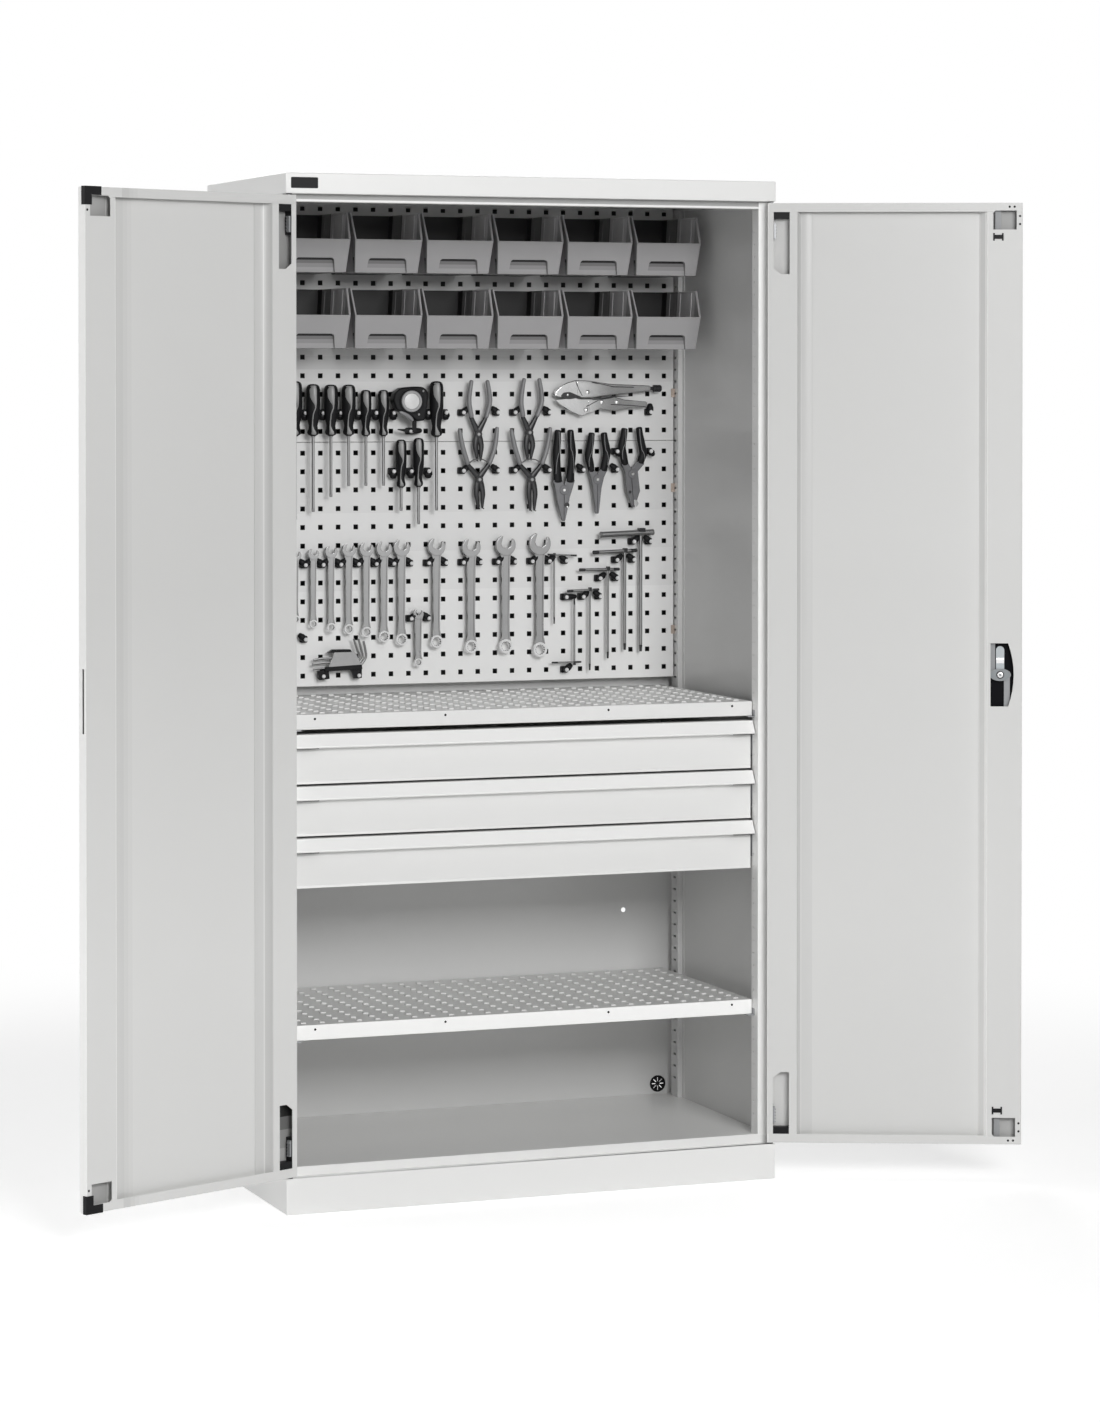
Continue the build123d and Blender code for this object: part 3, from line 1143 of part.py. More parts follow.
def circlip_pliers(points):
    """Circlip pliers, tips down: two grips and the crossed levers with fine tips."""
    top_l, top_r, bend_l, bend_r, end_l, end_r, cross, head_l, head_r, tip_l, tip_r = points
    grips = [stroke([top, bend, end], GRIP_HALF, GRIP_T)
             for top, bend, end in ((top_l, bend_l, end_l), (top_r, bend_r, end_r))]
    inner_l, inner_r = between(bend_l, end_l, 0.6), between(bend_r, end_r, 0.6)
    head = stroke([inner_l, end_l, cross], GRIP_HALF * 0.7, JAW_T)
    head += stroke([inner_r, end_r, cross], GRIP_HALF * 0.7, JAW_T)
    head += plate([head_l, between(head_l, cross, 0.8), cross_top(cross), between(head_r, cross, 0.8),
                   head_r, tip_r, tip_l], JAW_T)
    return [*grips, head - grips[0] - grips[1]]


def between(start, end, share):
    """Point part of the way from one point to another."""
    return (start[0] + (end[0] - start[0]) * share, start[1] + (end[1] - start[1]) * share)


def cross_top(cross):
    """Point just above the levers' crossing."""
    return (cross[0], cross[1] + GRIP_HALF)


def grip(top, widest, outer, inner, side):
    """Outline of one dipped grip of a pair of pliers; side is -1 for the left."""
    half = PLIER_GRIP_HALF
    return [(top[0] + side * half, top[1] - half), top, (top[0] - side * half, top[1] - half),
            (widest[0] - side * 2 * half, widest[1]), inner, outer, widest]


def pliers(points):
    """Pliers, jaws down: two grips and the head."""
    top_l, top_r, wide_l, wide_r, out_l, in_l, in_r, out_r, shoulder_l, shoulder_r, jaw_l, jaw_r, tip = points
    left = plate(grip(top_l, wide_l, out_l, in_l, -1), PLIER_GRIP_T)
    right = plate(grip(top_r, wide_r, out_r, in_r, 1), PLIER_GRIP_T)
    head = plate([between(out_l, wide_l, 0.1), between(in_l, wide_l, 0.2), between(in_l, in_r, 0.5),
                  between(in_r, wide_r, 0.2), between(out_r, wide_r, 0.1), shoulder_r, jaw_r,
                  (tip[0] + 3, tip[1]), (tip[0] - 3, tip[1]), jaw_l, shoulder_l], PLIER_HEAD_T)
    return [left, right, head - left - right]


def locking_pliers():
    """Locking pliers: body with the fixed jaw, lower jaw, lever and adjusting screw."""
    level, start, end, radius = LOCKING_SCREW
    y = TOOL_BACK - LOCKING_T / 2
    screw = Pos((start + end) / 2, y, level) * Rot(0, 90, 0) * Cylinder(radius, end - start)
    body = plate(LOCKING_BODY, LOCKING_T)
    jaw = plate(LOCKING_JAW, LOCKING_T)
    lever = plate(LOCKING_HANDLE, LOCKING_T)
    front = TOOL_BACK - LOCKING_T
    rivet = across(*LOCKING_RIVET, (front - LOCKING_RIVET_OUT, front))
    return [body, jaw, lever, rivet, screw]


def wrench(x, head_z, ring_z, head_r, ring_r, shank):
    """Combination wrench, open end up."""
    y = (TOOL_BACK - WRENCH_T, TOOL_BACK)
    body = across(head_r, x, head_z, y) + across(ring_r, x, ring_z, y)
    thin = (TOOL_BACK - WRENCH_T * 0.8, TOOL_BACK)
    body += block((x - shank / 2, x + shank / 2), thin, (ring_z, head_z))
    body -= across(ring_r * 0.62, x, ring_z, (y[0] - 1, y[1] + 1))
    jaw = block((-head_r * 0.5, head_r * 0.5), (y[0] - 1, y[1] + 1), (-head_r * 0.2, head_r * 2))
    return body - Pos(x, 0, head_z) * Rot(0, WRENCH_TILT, 0) * jaw


def hex_key_set():
    """Set of hexagon keys in a folding tray with a plain cover panel."""
    stud_x, stud_z, stud_r = HEX_STUD
    stud_room = across(stud_r, stud_x, stud_z, (TOOL_BACK - 2 * HEX_TRAY_T, TOOL_BACK))
    tray = plate(HEX_TRAY, HEX_TRAY_T) - stud_room
    panel = flat(HEX_PANEL, (TOOL_BACK - HEX_TRAY_T - HEX_PANEL_T, TOOL_BACK - HEX_TRAY_T))
    keys = []
    for radius, path in HEX_KEYS:
        rods = [wire_rod(radius, start, end) for start, end in zip(path, path[1:])]
        joints = [Pos(px, TOOL_BACK - radius, pz) * Sphere(radius) for px, pz in path[1:-1]]
        keys.append(sum_of(rods + joints) - plate(HEX_TRAY, HEX_TRAY_T) - panel)
    ends = [wire_rod(HEX_END_R, start, end) - tray for start, end in HEX_ENDS]
    return [tray, panel, *keys, *ends]


def sum_of(shapes):
    """One shape from several."""
    whole = shapes[0]
    for shape in shapes[1:]:
        whole += shape
    return whole


def t_key(left, right, bar_radius, x, ends, radius):
    """T-handle key: cross grip and round shaft."""
    bar = Pos(0, -T_BAR_OUT, 0) * wire_rod(bar_radius, left, right)
    return bar + wire_rod(radius, (x, ends[0]), (x, ends[1]))


# ---- all nodes ----
def save_carcass():
    """Cabinet body, shelves and tool wall."""
    save("top_cap", top_cap())
    save("plinth", plinth())
    save("floor_pan", floor_pan())
    save("left_side_panel", left_side_panel())
    save("right_side_panel", mirrored(left_side_panel()))
    save("back_panel", back_panel())
    save("front_posts", *pair(left_front_post()))
    save("rear_posts", *pair(left_rear_post()))
    save("ceiling_frame", *ceiling_frame())
    save("upper_perforated_panel", perforated_panel(PANEL_SEAM))
    save("lower_perforated_panel", perforated_panel(LOWER_PANEL_FOOT))
    save("panel_clips", *panel_clips())
    save("upper_shelf", shelf(UPPER_SHELF_TOP))
    save("lower_shelf", shelf(LOWER_SHELF_TOP))
    save("shelf_clips", *shelf_clips())
    save("vent_plug", vent_plug())
    save("name_plate", name_plate())
    save("pivot_bushes", *pair(pivot_bush(UP)), *pair(pivot_bush(DOWN)))


def save_doors():
    """Both doors with their channels, pivots and small fittings."""
    for name, hung in (("left_door", hung_left), ("right_door", hung_right)):
        right = name == "right_door"
        save(f"{name}_skin", hung(right_skin() if right else door_skin()))
        save(f"{name}_hinge_channel", hung(hinge_channel()))
        save(f"{name}_lock_channel", hung(right_lock_channel() if right else lock_channel()))
        save(f"{name}_pivot_housings", *[hung(pivot_housing(side)) for side in (UP, DOWN)])
        save(f"{name}_pivot_pins", *[hung(pivot_pin(side)) for side in (UP, DOWN)],
             *[hung(pivot_latch(side)) for side in (UP, DOWN)])
    save("left_door_corner_guards", *[hung_left(corner_guard(side)) for side in (UP, DOWN)])
    save("right_door_rod_guides", *[hung_right(rod_guide(sign)) for sign in (1, -1)])


def save_lock():
    """Lock of the right door."""
    save("lock_housing", hung_right(lock_housing()))
    save("swing_handle", hung_right(swing_handle()))
    save("key_cylinder", hung_right(key_cylinder()))
    save("cam_lever", *[hung_right(piece) for piece in cam_lever()])
    save("upper_rod", hung_right(rod(UPPER_ROD_SHIFT, 1)))
    save("lower_rod", hung_right(rod(LOWER_ROD_SHIFT, -1)))


def save_drawers():
    """Three drawers with their handles and rails."""
    fixed = []
    for name, top in zip(DRAWER_NAMES, DRAWER_TOPS):
        level = Pos(0, 0, rail_height(top))
        save(f"{name}_box", drawer_box(top))
        save(f"{name}_handle", drawer_handle(top))
        save(f"{name}_runner_middle", *pair(level * rail_section(1)))
        save(f"{name}_runner_inner", *pair(level * inner_rail()))
        fixed += pair(level * fixed_rail())
    save("runner_fixed_members", *fixed)


def save_on_wall(name, shapes):
    """Write the tools of one table where the tool wall really is."""
    shift = Pos(PANEL_WIDE / 2 - TABLE_EDGE, 0, PANEL_SEAM - TABLE_SEAM)
    save(name, *[shift * shape for shape in shapes])


def save_tools():
    """Bins, holders and hand tools on the tool wall."""
    upper, lower = BIN_ROW_RISES
    save("bins_upper_row", *bin_row(upper))
    save("bins_lower_row", *bin_row(lower))
    studded = [studded_hook(x, z) for z, places in HOOKS.items() for x in places]
    save_on_wall("tool_holders", studded + [hook(x, z) for x, z in PLAIN_HOOKS])
    save_on_wall("screwdrivers", [screwdriver(*row) for row in SCREWDRIVERS])
    save_on_wall("tape_measure", tape_measure())
    save_on_wall("circlip_pliers", [one for points in CIRCLIP_PLIERS for one in circlip_pliers(points)])
    save_on_wall("locking_pliers", locking_pliers())
    save_on_wall("pliers", [one for points in PLIERS for one in pliers(points)])
    save_on_wall("combination_wrenches", [wrench(*row) for row in WRENCHES])
    save_on_wall("hex_key_set", hex_key_set())
    save_on_wall("t_handle_keys", [t_key(*row) for row in T_KEYS])


if __name__ == "__main__":
    os.makedirs("parts", exist_ok=True)
    save_carcass()
    save_doors()
    save_lock()
    save_drawers()
    save_tools()
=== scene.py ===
"""Tool cabinet with doors: rolled sheet steel, bins, hand tools, lock, light and camera.

Lengths in the tables are millimetres and meshes are in metres. X runs to the right, Y to the
back and Z up, with the origin on the floor under the middle of the cabinet.
"""

import json
import logging
import math
from dataclasses import dataclass, field, replace
from enum import Enum

import bmesh
import bpy
from mathutils import Matrix, Vector

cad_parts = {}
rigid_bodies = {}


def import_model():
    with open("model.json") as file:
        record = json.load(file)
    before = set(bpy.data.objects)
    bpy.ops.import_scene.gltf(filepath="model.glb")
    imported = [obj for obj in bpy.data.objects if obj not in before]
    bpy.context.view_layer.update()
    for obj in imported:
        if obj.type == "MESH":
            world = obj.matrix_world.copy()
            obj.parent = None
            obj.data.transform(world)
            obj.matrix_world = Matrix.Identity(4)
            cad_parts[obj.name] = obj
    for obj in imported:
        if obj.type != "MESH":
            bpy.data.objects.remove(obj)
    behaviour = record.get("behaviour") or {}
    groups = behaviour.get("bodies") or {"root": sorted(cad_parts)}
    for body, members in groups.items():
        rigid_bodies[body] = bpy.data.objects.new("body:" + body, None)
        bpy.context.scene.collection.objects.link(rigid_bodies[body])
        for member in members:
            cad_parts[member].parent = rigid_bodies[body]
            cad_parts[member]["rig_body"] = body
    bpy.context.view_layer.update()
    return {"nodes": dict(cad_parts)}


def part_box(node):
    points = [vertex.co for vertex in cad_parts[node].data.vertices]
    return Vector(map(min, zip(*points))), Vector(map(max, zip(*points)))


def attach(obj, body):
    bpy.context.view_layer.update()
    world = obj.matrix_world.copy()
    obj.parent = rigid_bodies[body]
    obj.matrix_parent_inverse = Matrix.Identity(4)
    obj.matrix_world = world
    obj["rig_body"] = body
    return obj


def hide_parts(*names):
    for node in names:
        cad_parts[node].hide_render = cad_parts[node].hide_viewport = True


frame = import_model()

log = logging.getLogger("tool_cabinet")
MM = 0.001
SHARP = math.radians(35)
WELD = 1e-6
WIDE = 2.5 * MM
THIN = 0.8 * MM
NEVER_ZERO = 1e-9
Mesh = bmesh.types.BMesh
Verts = list[bmesh.types.BMVert]
Tree = bpy.types.NodeTree
Socket = bpy.types.NodeSocket
Point = tuple[float, float]
Spot = tuple[float, float, float]
Row = tuple[float, ...]
FRONT: Spot = (0, -1, 0)
INWARDS: Spot = (0, 1, 0)


# ---- finishes ----
class Sheen(Enum):
    """How a finish takes the light."""

    PAINT = "paint"
    PLASTIC = "plastic"
    METAL = "metal"


def feed(node: bpy.types.Node, inputs: dict[str | int, object]) -> None:
    """Set a node's inputs: a socket is linked, and anything else is a constant.

    Args:
        node: The node.
        inputs: Socket or constant for each input.
    """
    for key, value in inputs.items():
        if isinstance(value, Socket):
            node.id_data.links.new(value, node.inputs[key])
        else:
            node.inputs[key].default_value = value


def wire(tree: Tree, kind: str, output: str, inputs: dict[str | int, object], **settings: str) -> Socket:
    """Add a shader node and take one of its outputs.

    Args:
        tree: Node tree to add to.
        kind: The node's type.
        output: Name of the output.
        inputs: Socket or constant for each input.
        **settings: The node's own properties.

    Returns:
        The output's socket.
    """
    node = tree.nodes.new(f"ShaderNode{kind}")
    for name, value in settings.items():
        setattr(node, name, value)
    feed(node, inputs)
    return node.outputs[output]


@dataclass(frozen=True)
class Shade:
    """Box, turned and shifted, in which a finish's colour is scaled: painted shade where the factor is below 1 and
    painted light where it is above 1.
    """

    low: Spot
    high: Spot
    factor: float
    turn: float = 0.0
    shift: Spot = (0.0, 0.0, 0.0)
    flip: float = 1.0
    soft: float = 0.0

    def mask(self, tree: Tree) -> Socket:
        """Add the nodes that tell whether a place lies in the box.

        Args:
            tree: The material's node tree.

        Returns:
            Socket with the factor inside the box and 1 outside it.
        """
        last = wire(tree, "Mapping", "Vector", {
            "Vector": wire(tree, "TexCoord", "Object", {}), "Scale": (self.flip, 1.0, 1.0),
            "Rotation": (0.0, 0.0, math.radians(self.turn)), "Location": self.shift})
        middle = [(a + b) / 2 for a, b in zip(self.low, self.high)]
        half = [(b - a) / 2 for a, b in zip(self.low, self.high)]
        for operation, value in (("SUBTRACT", {1: middle}), ("ABSOLUTE", {}), ("SUBTRACT", {1: half})):
            last = wire(tree, "VectorMath", "Vector", {0: last, **value}, operation=operation)
        split = tree.nodes.new("ShaderNodeSeparateXYZ")
        feed(split, {"Vector": last})
        inside = None
        for axis in "XYZ":
            if self.soft:
                test = wire(tree, "MapRange", "Result",
                            {0: split.outputs[axis], "From Min": 0.0, "From Max": -self.soft})
            else:
                test = wire(tree, "Math", "Value", {0: split.outputs[axis], 1: 0.0}, operation="LESS_THAN")
            inside = wire(tree, "Math", "Value", {0: inside, 1: test}, operation="MULTIPLY") if inside else test
        return wire(tree, "MapRange", "Result", {"Value": inside, "To Min": 1.0, "To Max": self.factor})


def band(y: Point, z: Point, factor: float) -> Shade:
    """Box of painted light and shade over the whole width, between limits in depth and in height in metres."""
    return Shade((-1.0, y[0], z[0]), (1.0, y[1], z[1]), factor)


@dataclass(frozen=True)
class Finish:
    """One procedural finish, drawn in object coordinates, with its boxes of painted light and shade."""

    name: str
    slot: str
    colour: Spot
    drift: Spot
    roughness: float
    sheen: Sheen = Sheen.PLASTIC
    spread: float = 0.06
    mottle: float = 3.0
    grain: float = 900.0
    depth: float = 0.05
    strength: float = 0.25
    gloss: float = 0.5
    coat: Point = (0.25, 0.22)
    # boxes of painted light and shade, multiplied into the colour
    shades: tuple[Shade, ...] = ()

    def material(self) -> bpy.types.Material:
        """Build the finish once and hand out the same material afterwards.

        Returns:
            The material of this finish.
        """
        made = bpy.data.materials.get(self.name)
        if made is not None:
            return made
        made = bpy.data.materials.new(self.name)
        made.use_nodes = True
        tree = made.node_tree
        place = wire(tree, "TexCoord", "Object", {})
        cloud = wire(tree, "TexNoise", "Fac", {"Vector": place, "Scale": self.mottle, "Detail": 4.0})
        peel = wire(tree, "TexNoise", "Fac", {"Vector": place, "Scale": self.grain, "Detail": 2.0})
        colour = wire(tree, "Mix", "Result", {"Factor": cloud, "A": (*self.colour, 1.0), "B": (*self.drift, 1.0)},
                      data_type="RGBA")
        # painted light and shade: the colour is scaled inside each box
        for shade in self.shades:
            colour = wire(tree, "VectorMath", "Vector", {0: colour, "Scale": shade.mask(tree)}, operation="SCALE")
        shader = tree.nodes["Principled BSDF"]
        feed(shader, {
            "Base Color": colour, "Metallic": 1.0 if self.sheen is Sheen.METAL else 0.0,
            "Specular IOR Level": self.gloss,
            "Roughness": wire(tree, "MapRange", "Result", {
                "Value": cloud, "To Min": self.roughness - self.spread, "To Max": self.roughness + self.spread}),
            "Normal": wire(tree, "Bump", "Normal", {
                "Height": peel, "Strength": self.strength, "Distance": self.depth * MM})})
        if self.sheen is Sheen.PAINT:
            feed(shader, {"Coat Weight": self.coat[0], "Coat Roughness": self.coat[1]})
        return made


WHITE = Finish("white_powder_coat", "white_paint", (0.865, 0.865, 0.855), (0.84, 0.84, 0.83), 0.36,
               Sheen.PAINT, mottle=2.2, grain=700.0, depth=0.04, strength=0.2)
# darker copy of the white powder coat for the inner sheets: painted shade
WALL = replace(WHITE, name="white_powder_coat_inside", colour=(0.76, 0.76, 0.755), drift=(0.73, 0.73, 0.725),
               roughness=0.34, mottle=2.8)
# darker copy of the white powder coat for the doors: painted shade
DOOR = replace(WHITE, name="white_powder_coat_doors", colour=(0.69, 0.69, 0.68), drift=(0.67, 0.67, 0.66),
               roughness=0.38, mottle=2.0)
# lighter copy of the white powder coat for the front posts and drawer handles: painted light
POST_PAINTED_LIGHT = replace(WHITE, name="white_powder_coat_posts", colour=(0.98, 0.98, 0.97), drift=(0.96, 0.96, 0.95))
# painted shadow on the ceiling frame's front: under the cap's overhang and below the rail's lip
RAIL_PAINTED_SHADOW = replace(WHITE, name="white_powder_coat_rail", shades=(
    band((-0.3, -0.2), (1.9504, 1.97), 0.42), band((-0.3, -0.2), (1.93, 1.9462), 0.4)))
# lower shelf: painted light on its front face and painted shade on its top
EDGE = replace(WHITE, name="white_powder_coat_edge", shades=(
    band((-0.3, -0.2215), (0.0, 1.0), 1.28), band((-0.2215, 0.3), (0.0, 1.0), 0.9)))
# painted light on the plinth's front face
PLINTH_PAINTED_LIGHT = replace(WHITE, name="white_powder_coat_plinth", shades=(band((-0.3, -0.27), (0.0, 0.1), 1.12),))
# lighter copy of the inside white for the cabinet's floor pan: painted light
GROUND_PAINTED_LIGHT = replace(WALL, name="white_powder_coat_floor", colour=(0.95, 0.95, 0.94), drift=(0.93, 0.93, 0.92))
# lower perforated panel: painted light, lighter towards its bottom in three stacked bands
LOW_PANEL_PAINTED_LIGHT = replace(WALL, name="white_powder_coat_low_panel", shades=tuple(
    band((0.2, 0.24), (0.9, top), 1.06) for top in (1.33, 1.25, 1.17)))
# upper perforated panel: painted shade over its top part and painted shadow under the lower row of bins
PANEL = replace(WALL, name="white_powder_coat_panels", shades=tuple(
    band((0.2, 0.24), z, factor) for *z, factor in ((1.78, 2.0, 0.86), (1.6, 1.652, 0.92), (1.625, 1.67, 0.9))))
# back panel nearly black behind the perforated panels: painted shade seen through the holes
BACK_PAINTED_SHADE = replace(WALL, name="white_powder_coat_back",
               shades=(Shade((-0.497, -1.0, 0.976), (0.497, 0.2718, 1.975), 0.03),))
GREY = Finish(
    "grey_moulded_bin", "grey_plastic", (0.375, 0.37, 0.375), (0.35, 0.345, 0.35), 0.42, mottle=14.0,
    grain=1400.0, depth=0.06, gloss=0.25, shades=(
        # painted shade on the bins' inner back walls, darker in the lower row; painted shade towards the back of the
        # side walls with a dark line, and painted light nearer the front
        band((0.2, 0.2272), (1.0, 2.0), 0.14), band((0.2, 0.2272), (1.6, 1.795), 0.35),
        band((0.15, 0.2), (1.0, 2.0), 0.8), band((0.147, 0.15), (1.0, 2.0), 0.3),
        band((0.062, 0.147), (1.0, 2.0), 1.7),
        # painted shadow under the top of each finger pocket, darkest at the top
        *(band((0.05, 0.0585), (bottom + low, bottom + high), factor) for bottom in (1.819, 1.667)
          for low, high, factor in ((0.0245, 0.031, 0.05), (0.018, 0.0245, 0.5), (0.01, 0.018, 0.8)))))
DISC_GREY = Finish("pale_grey_plastic", "grey_plastic", (0.38, 0.38, 0.385), (0.32, 0.32, 0.325), 0.30,
    mottle=40.0, grain=1600.0, depth=0.03)
LENS_GREY = Finish("grey_soft_inlay", "grey_plastic", (0.30, 0.30, 0.30), (0.24, 0.24, 0.24), 0.34,
    mottle=60.0, grain=2600.0, depth=0.03)
GRIP_GREY = Finish("grey_dipped_grip", "grey_plastic", (0.24, 0.24, 0.245), (0.20, 0.20, 0.205), 0.40,
    mottle=60.0, grain=2600.0, depth=0.05)
BLACK = Finish("black_moulded_plastic", "black_plastic", (0.009, 0.009, 0.010), (0.015, 0.015, 0.016), 0.42,
    mottle=30.0, grain=1800.0, depth=0.05, gloss=0.12)
# darker copy of the black plastic for the lock housing: painted shade in its recess
JET_PAINTED_SHADE = replace(BLACK, name="black_housing_inside", colour=(0.003, 0.003, 0.004), drift=(0.005, 0.005, 0.007),
              gloss=0.06)
BLACK_STEEL = Finish("black_oxide_steel", "black_steel", (0.014, 0.014, 0.015), (0.03, 0.03, 0.032), 0.36,
    mottle=40.0, grain=2200.0, depth=0.03, gloss=0.4)
ZINC = Finish("dull_zinc_plate", "zinc_steel", (0.36, 0.37, 0.38), (0.28, 0.285, 0.295), 0.42,
    Sheen.METAL, mottle=30.0, grain=1200.0, depth=0.02, strength=0.15)
# near-white non-metal in place of chrome for the hook balls, wrench rings and tape disc face: painted reflection
BALL_PAINTED_REFLECTION = Finish("pale_nickel_ball", "chrome_steel", (0.88, 0.88, 0.88), (0.80, 0.80, 0.80), 0.30,
    mottle=90.0, grain=2400.0, depth=0.01, strength=0.1)
DULL = Finish("grey_zinc_plate", "zinc_steel", (0.40, 0.41, 0.42), (0.34, 0.345, 0.355), 0.55,
    mottle=30.0, grain=1200.0, depth=0.02, strength=0.15, gloss=0.3)
CHROME = Finish("polished_chrome_steel", "chrome_steel", (0.66, 0.66, 0.66), (0.40, 0.40, 0.40), 0.20,
    Sheen.METAL, mottle=38.0, grain=1500.0, depth=0.02, strength=0.15)
SATIN = Finish("satin_chrome_steel", "chrome_steel", (0.32, 0.32, 0.32), (0.24, 0.24, 0.24), 0.30,
    Sheen.METAL, mottle=55.0, grain=1500.0, depth=0.02, strength=0.2)
FORGED = Finish("grey_forged_steel", "chrome_steel", (0.17, 0.17, 0.175), (0.12, 0.12, 0.125), 0.42,
    Sheen.METAL, mottle=55.0, grain=1500.0, depth=0.03, strength=0.25)
BRIGHT = Finish("bright_ball_steel", "chrome_steel", (0.86, 0.86, 0.86), (0.74, 0.74, 0.74), 0.20,
    Sheen.METAL, mottle=90.0, grain=2400.0, depth=0.01, strength=0.1)
COPPER = Finish("copper_plated_clip", "brass_clips", (0.52, 0.46, 0.41), (0.42, 0.34, 0.29), 0.42,
    Sheen.METAL, mottle=50.0, grain=1500.0, depth=0.02)


# ---- mesh work ----
def block(bm: Mesh, x: Point, y: Point, z: Point) -> Verts:
    """Add a box between three pairs of limits.

    Args:
        bm: Mesh to add to.
        x: Limits along X in millimetres.
        y: Limits along Y in millimetres.
        z: Limits along Z in millimetres.

    Returns:
        The new vertices.
    """
    size = [(pair[1] - pair[0]) * MM for pair in (x, y, z)]
    middle = [(pair[1] + pair[0]) / 2 * MM for pair in (x, y, z)]
    matrix = Matrix.Translation(middle) @ Matrix.Diagonal((*size, 1.0))
    return bmesh.ops.create_cube(bm, size=1.0, matrix=matrix)["verts"]


def aimed(place: Vector, way: Vector) -> Matrix:
    """Matrix that carries the origin to a place in metres and Z to a direction."""
    return Matrix.Translation(place) @ way.to_track_quat("Z", "Y").to_matrix().to_4x4()


def bevel(bm: Mesh, geom: list, radius: float, segments: int, affect: str = "EDGES") -> dict:
    """Round edges or corners to a radius in millimetres."""
    return bmesh.ops.bevel(bm, geom=geom, offset=radius * MM, offset_type="OFFSET", segments=segments,
                           profile=0.5, affect=affect, material=-1, clamp_overlap=True)


def faces_of(verts: Verts) -> list[bmesh.types.BMFace]:
    """Faces that meet some vertices."""
    return list(dict.fromkeys(face for vert in verts for face in vert.link_faces))


def fill(bm: Mesh, edges: list[bmesh.types.BMEdge]) -> None:
    """Close the holes whose rims are among some edges."""
    rims = [edge for edge in edges if edge.is_boundary]
    if rims:
        bmesh.ops.holes_fill(bm, edges=rims, sides=0)


def thicken(bm: Mesh, faces: list[bmesh.types.BMFace], deep: float) -> Verts:
    """Give flat faces a thickness towards the back.

    Args:
        bm: Mesh to change.
        faces: The front faces, which stay.
        deep: Thickness in millimetres.

    Returns:
        The vertices of the back.
    """
    grown = bmesh.ops.extrude_face_region(bm, geom=faces, use_keep_orig=True)["geom"]
    back = [item for item in grown if isinstance(item, bmesh.types.BMVert)]
    bmesh.ops.translate(bm, verts=back, vec=(0, deep * MM, 0))
    return back


def turned(bm: Mesh, profile: list[Point], steps: int, closed: bool = False) -> Verts:
    """Spin a profile round Z and weld its seam.

    Args:
        bm: Mesh to add to.
        profile: Radius and height pairs in millimetres.
        steps: Steps in the full turn.
        closed: Whether the profile's last point joins its first.

    Returns:
        The new vertices.
    """
    corners = [bm.verts.new((radius * MM, 0, height * MM)) for radius, height in profile]
    edges = [bm.edges.new(pair) for pair in zip(corners, corners[1:] + corners[:closed])]
    bmesh.ops.spin(bm, geom=corners + edges, cent=(0, 0, 0), axis=(0, 0, 1), angle=math.tau,
                   steps=steps, use_merge=True)
    bmesh.ops.remove_doubles(bm, verts=connected(corners), dist=WELD)
    return connected([vert for vert in corners if vert.is_valid])


def ball(bm: Mesh, centre: Spot, radius: float, segments: int = 14) -> None:
    """Add a ball, with its centre and radius in millimetres."""
    bmesh.ops.create_uvsphere(bm, u_segments=segments, v_segments=segments // 2, radius=radius * MM,
                              matrix=Matrix.Translation(Vector(centre) * MM))


def lathe(bm: Mesh, profile: list[Point], centre: Spot, axis: Spot = (0, 0, 1),
          steps: int = 24) -> None:
    """Turn a profile round an axis.

    Args:
        bm: Mesh to add to.
        profile: Radius and height pairs in millimetres, from one end to the other.
        centre: Place of height zero in millimetres.
        axis: Direction of the height.
        steps: Steps in the full turn.
    """
    found = turned(bm, profile, steps)
    bmesh.ops.transform(bm, verts=found, matrix=aimed(Vector(centre) * MM, Vector(axis)))
    fill(bm, list(dict.fromkeys(edge for vert in found for edge in vert.link_edges)))


def outward(bm: Mesh) -> None:
    """Turn round each closed island whose faces point inwards.

    Args:
        bm: Mesh to mend.
    """
    bm.normal_update()
    done = set()
    for start in bm.verts[:]:
        if start in done:
            continue
        island = connected([start])
        done.update(island)
        faces = faces_of(island)
        volume = sum((face.calc_center_median() - start.co).dot(face.normal) * face.calc_area() for face in faces)
        if volume < 0:
            bmesh.ops.reverse_faces(bm, faces=faces)


def connected(seeds: Verts) -> Verts:
    """Vertices joined to the given ones.

    Args:
        seeds: Vertices to start from.

    Returns:
        Every vertex of the same islands.
    """
    seen, queue = dict.fromkeys(seeds), list(seeds)
    while queue:
        for edge in queue.pop().link_edges:
            for vert in edge.verts:
                if vert not in seen:
                    seen[vert] = None
                    queue.append(vert)
    return list(seen)


def soften(bm: Mesh, bend: float, rim: float, segments: int = 3) -> None:
    """Round the sharp edges: outer folds between wide faces widely, sheet rims finely.

    Args:
        bm: Mesh to change.
        bend: Radius of outer folds in millimetres.
        rim: Radius of thin rims in millimetres.
        segments: Steps of the wide rounding.
    """
    for radius, low, high, steps in ((bend, WIDE, math.inf, segments), (rim, THIN, WIDE, 1)):
        if radius <= 0:
            continue
        chosen = []
        for edge in bm.edges:
            if len(edge.link_faces) != 2:
                continue
            angle = edge.calc_face_angle_signed(0.0)
            width = min(2 * face.calc_area() / max(face.calc_perimeter(), NEVER_ZERO) for face in edge.link_faces)
            if (abs(angle) if high == WIDE else angle) >= SHARP and low < width <= high:
                chosen.append(edge)
        bevel(bm, chosen, radius, steps)


def settle(name: str, bm: Mesh) -> bpy.types.Mesh:
    """Turn a mesh that is being built into a named one and free it.

    Args:
        name: The new mesh's name.
        bm: The mesh, which is freed.

    Returns:
        The new mesh.
    """
    mesh = bpy.data.meshes.new(name)
    bm.to_mesh(mesh)
    bm.free()
    return mesh


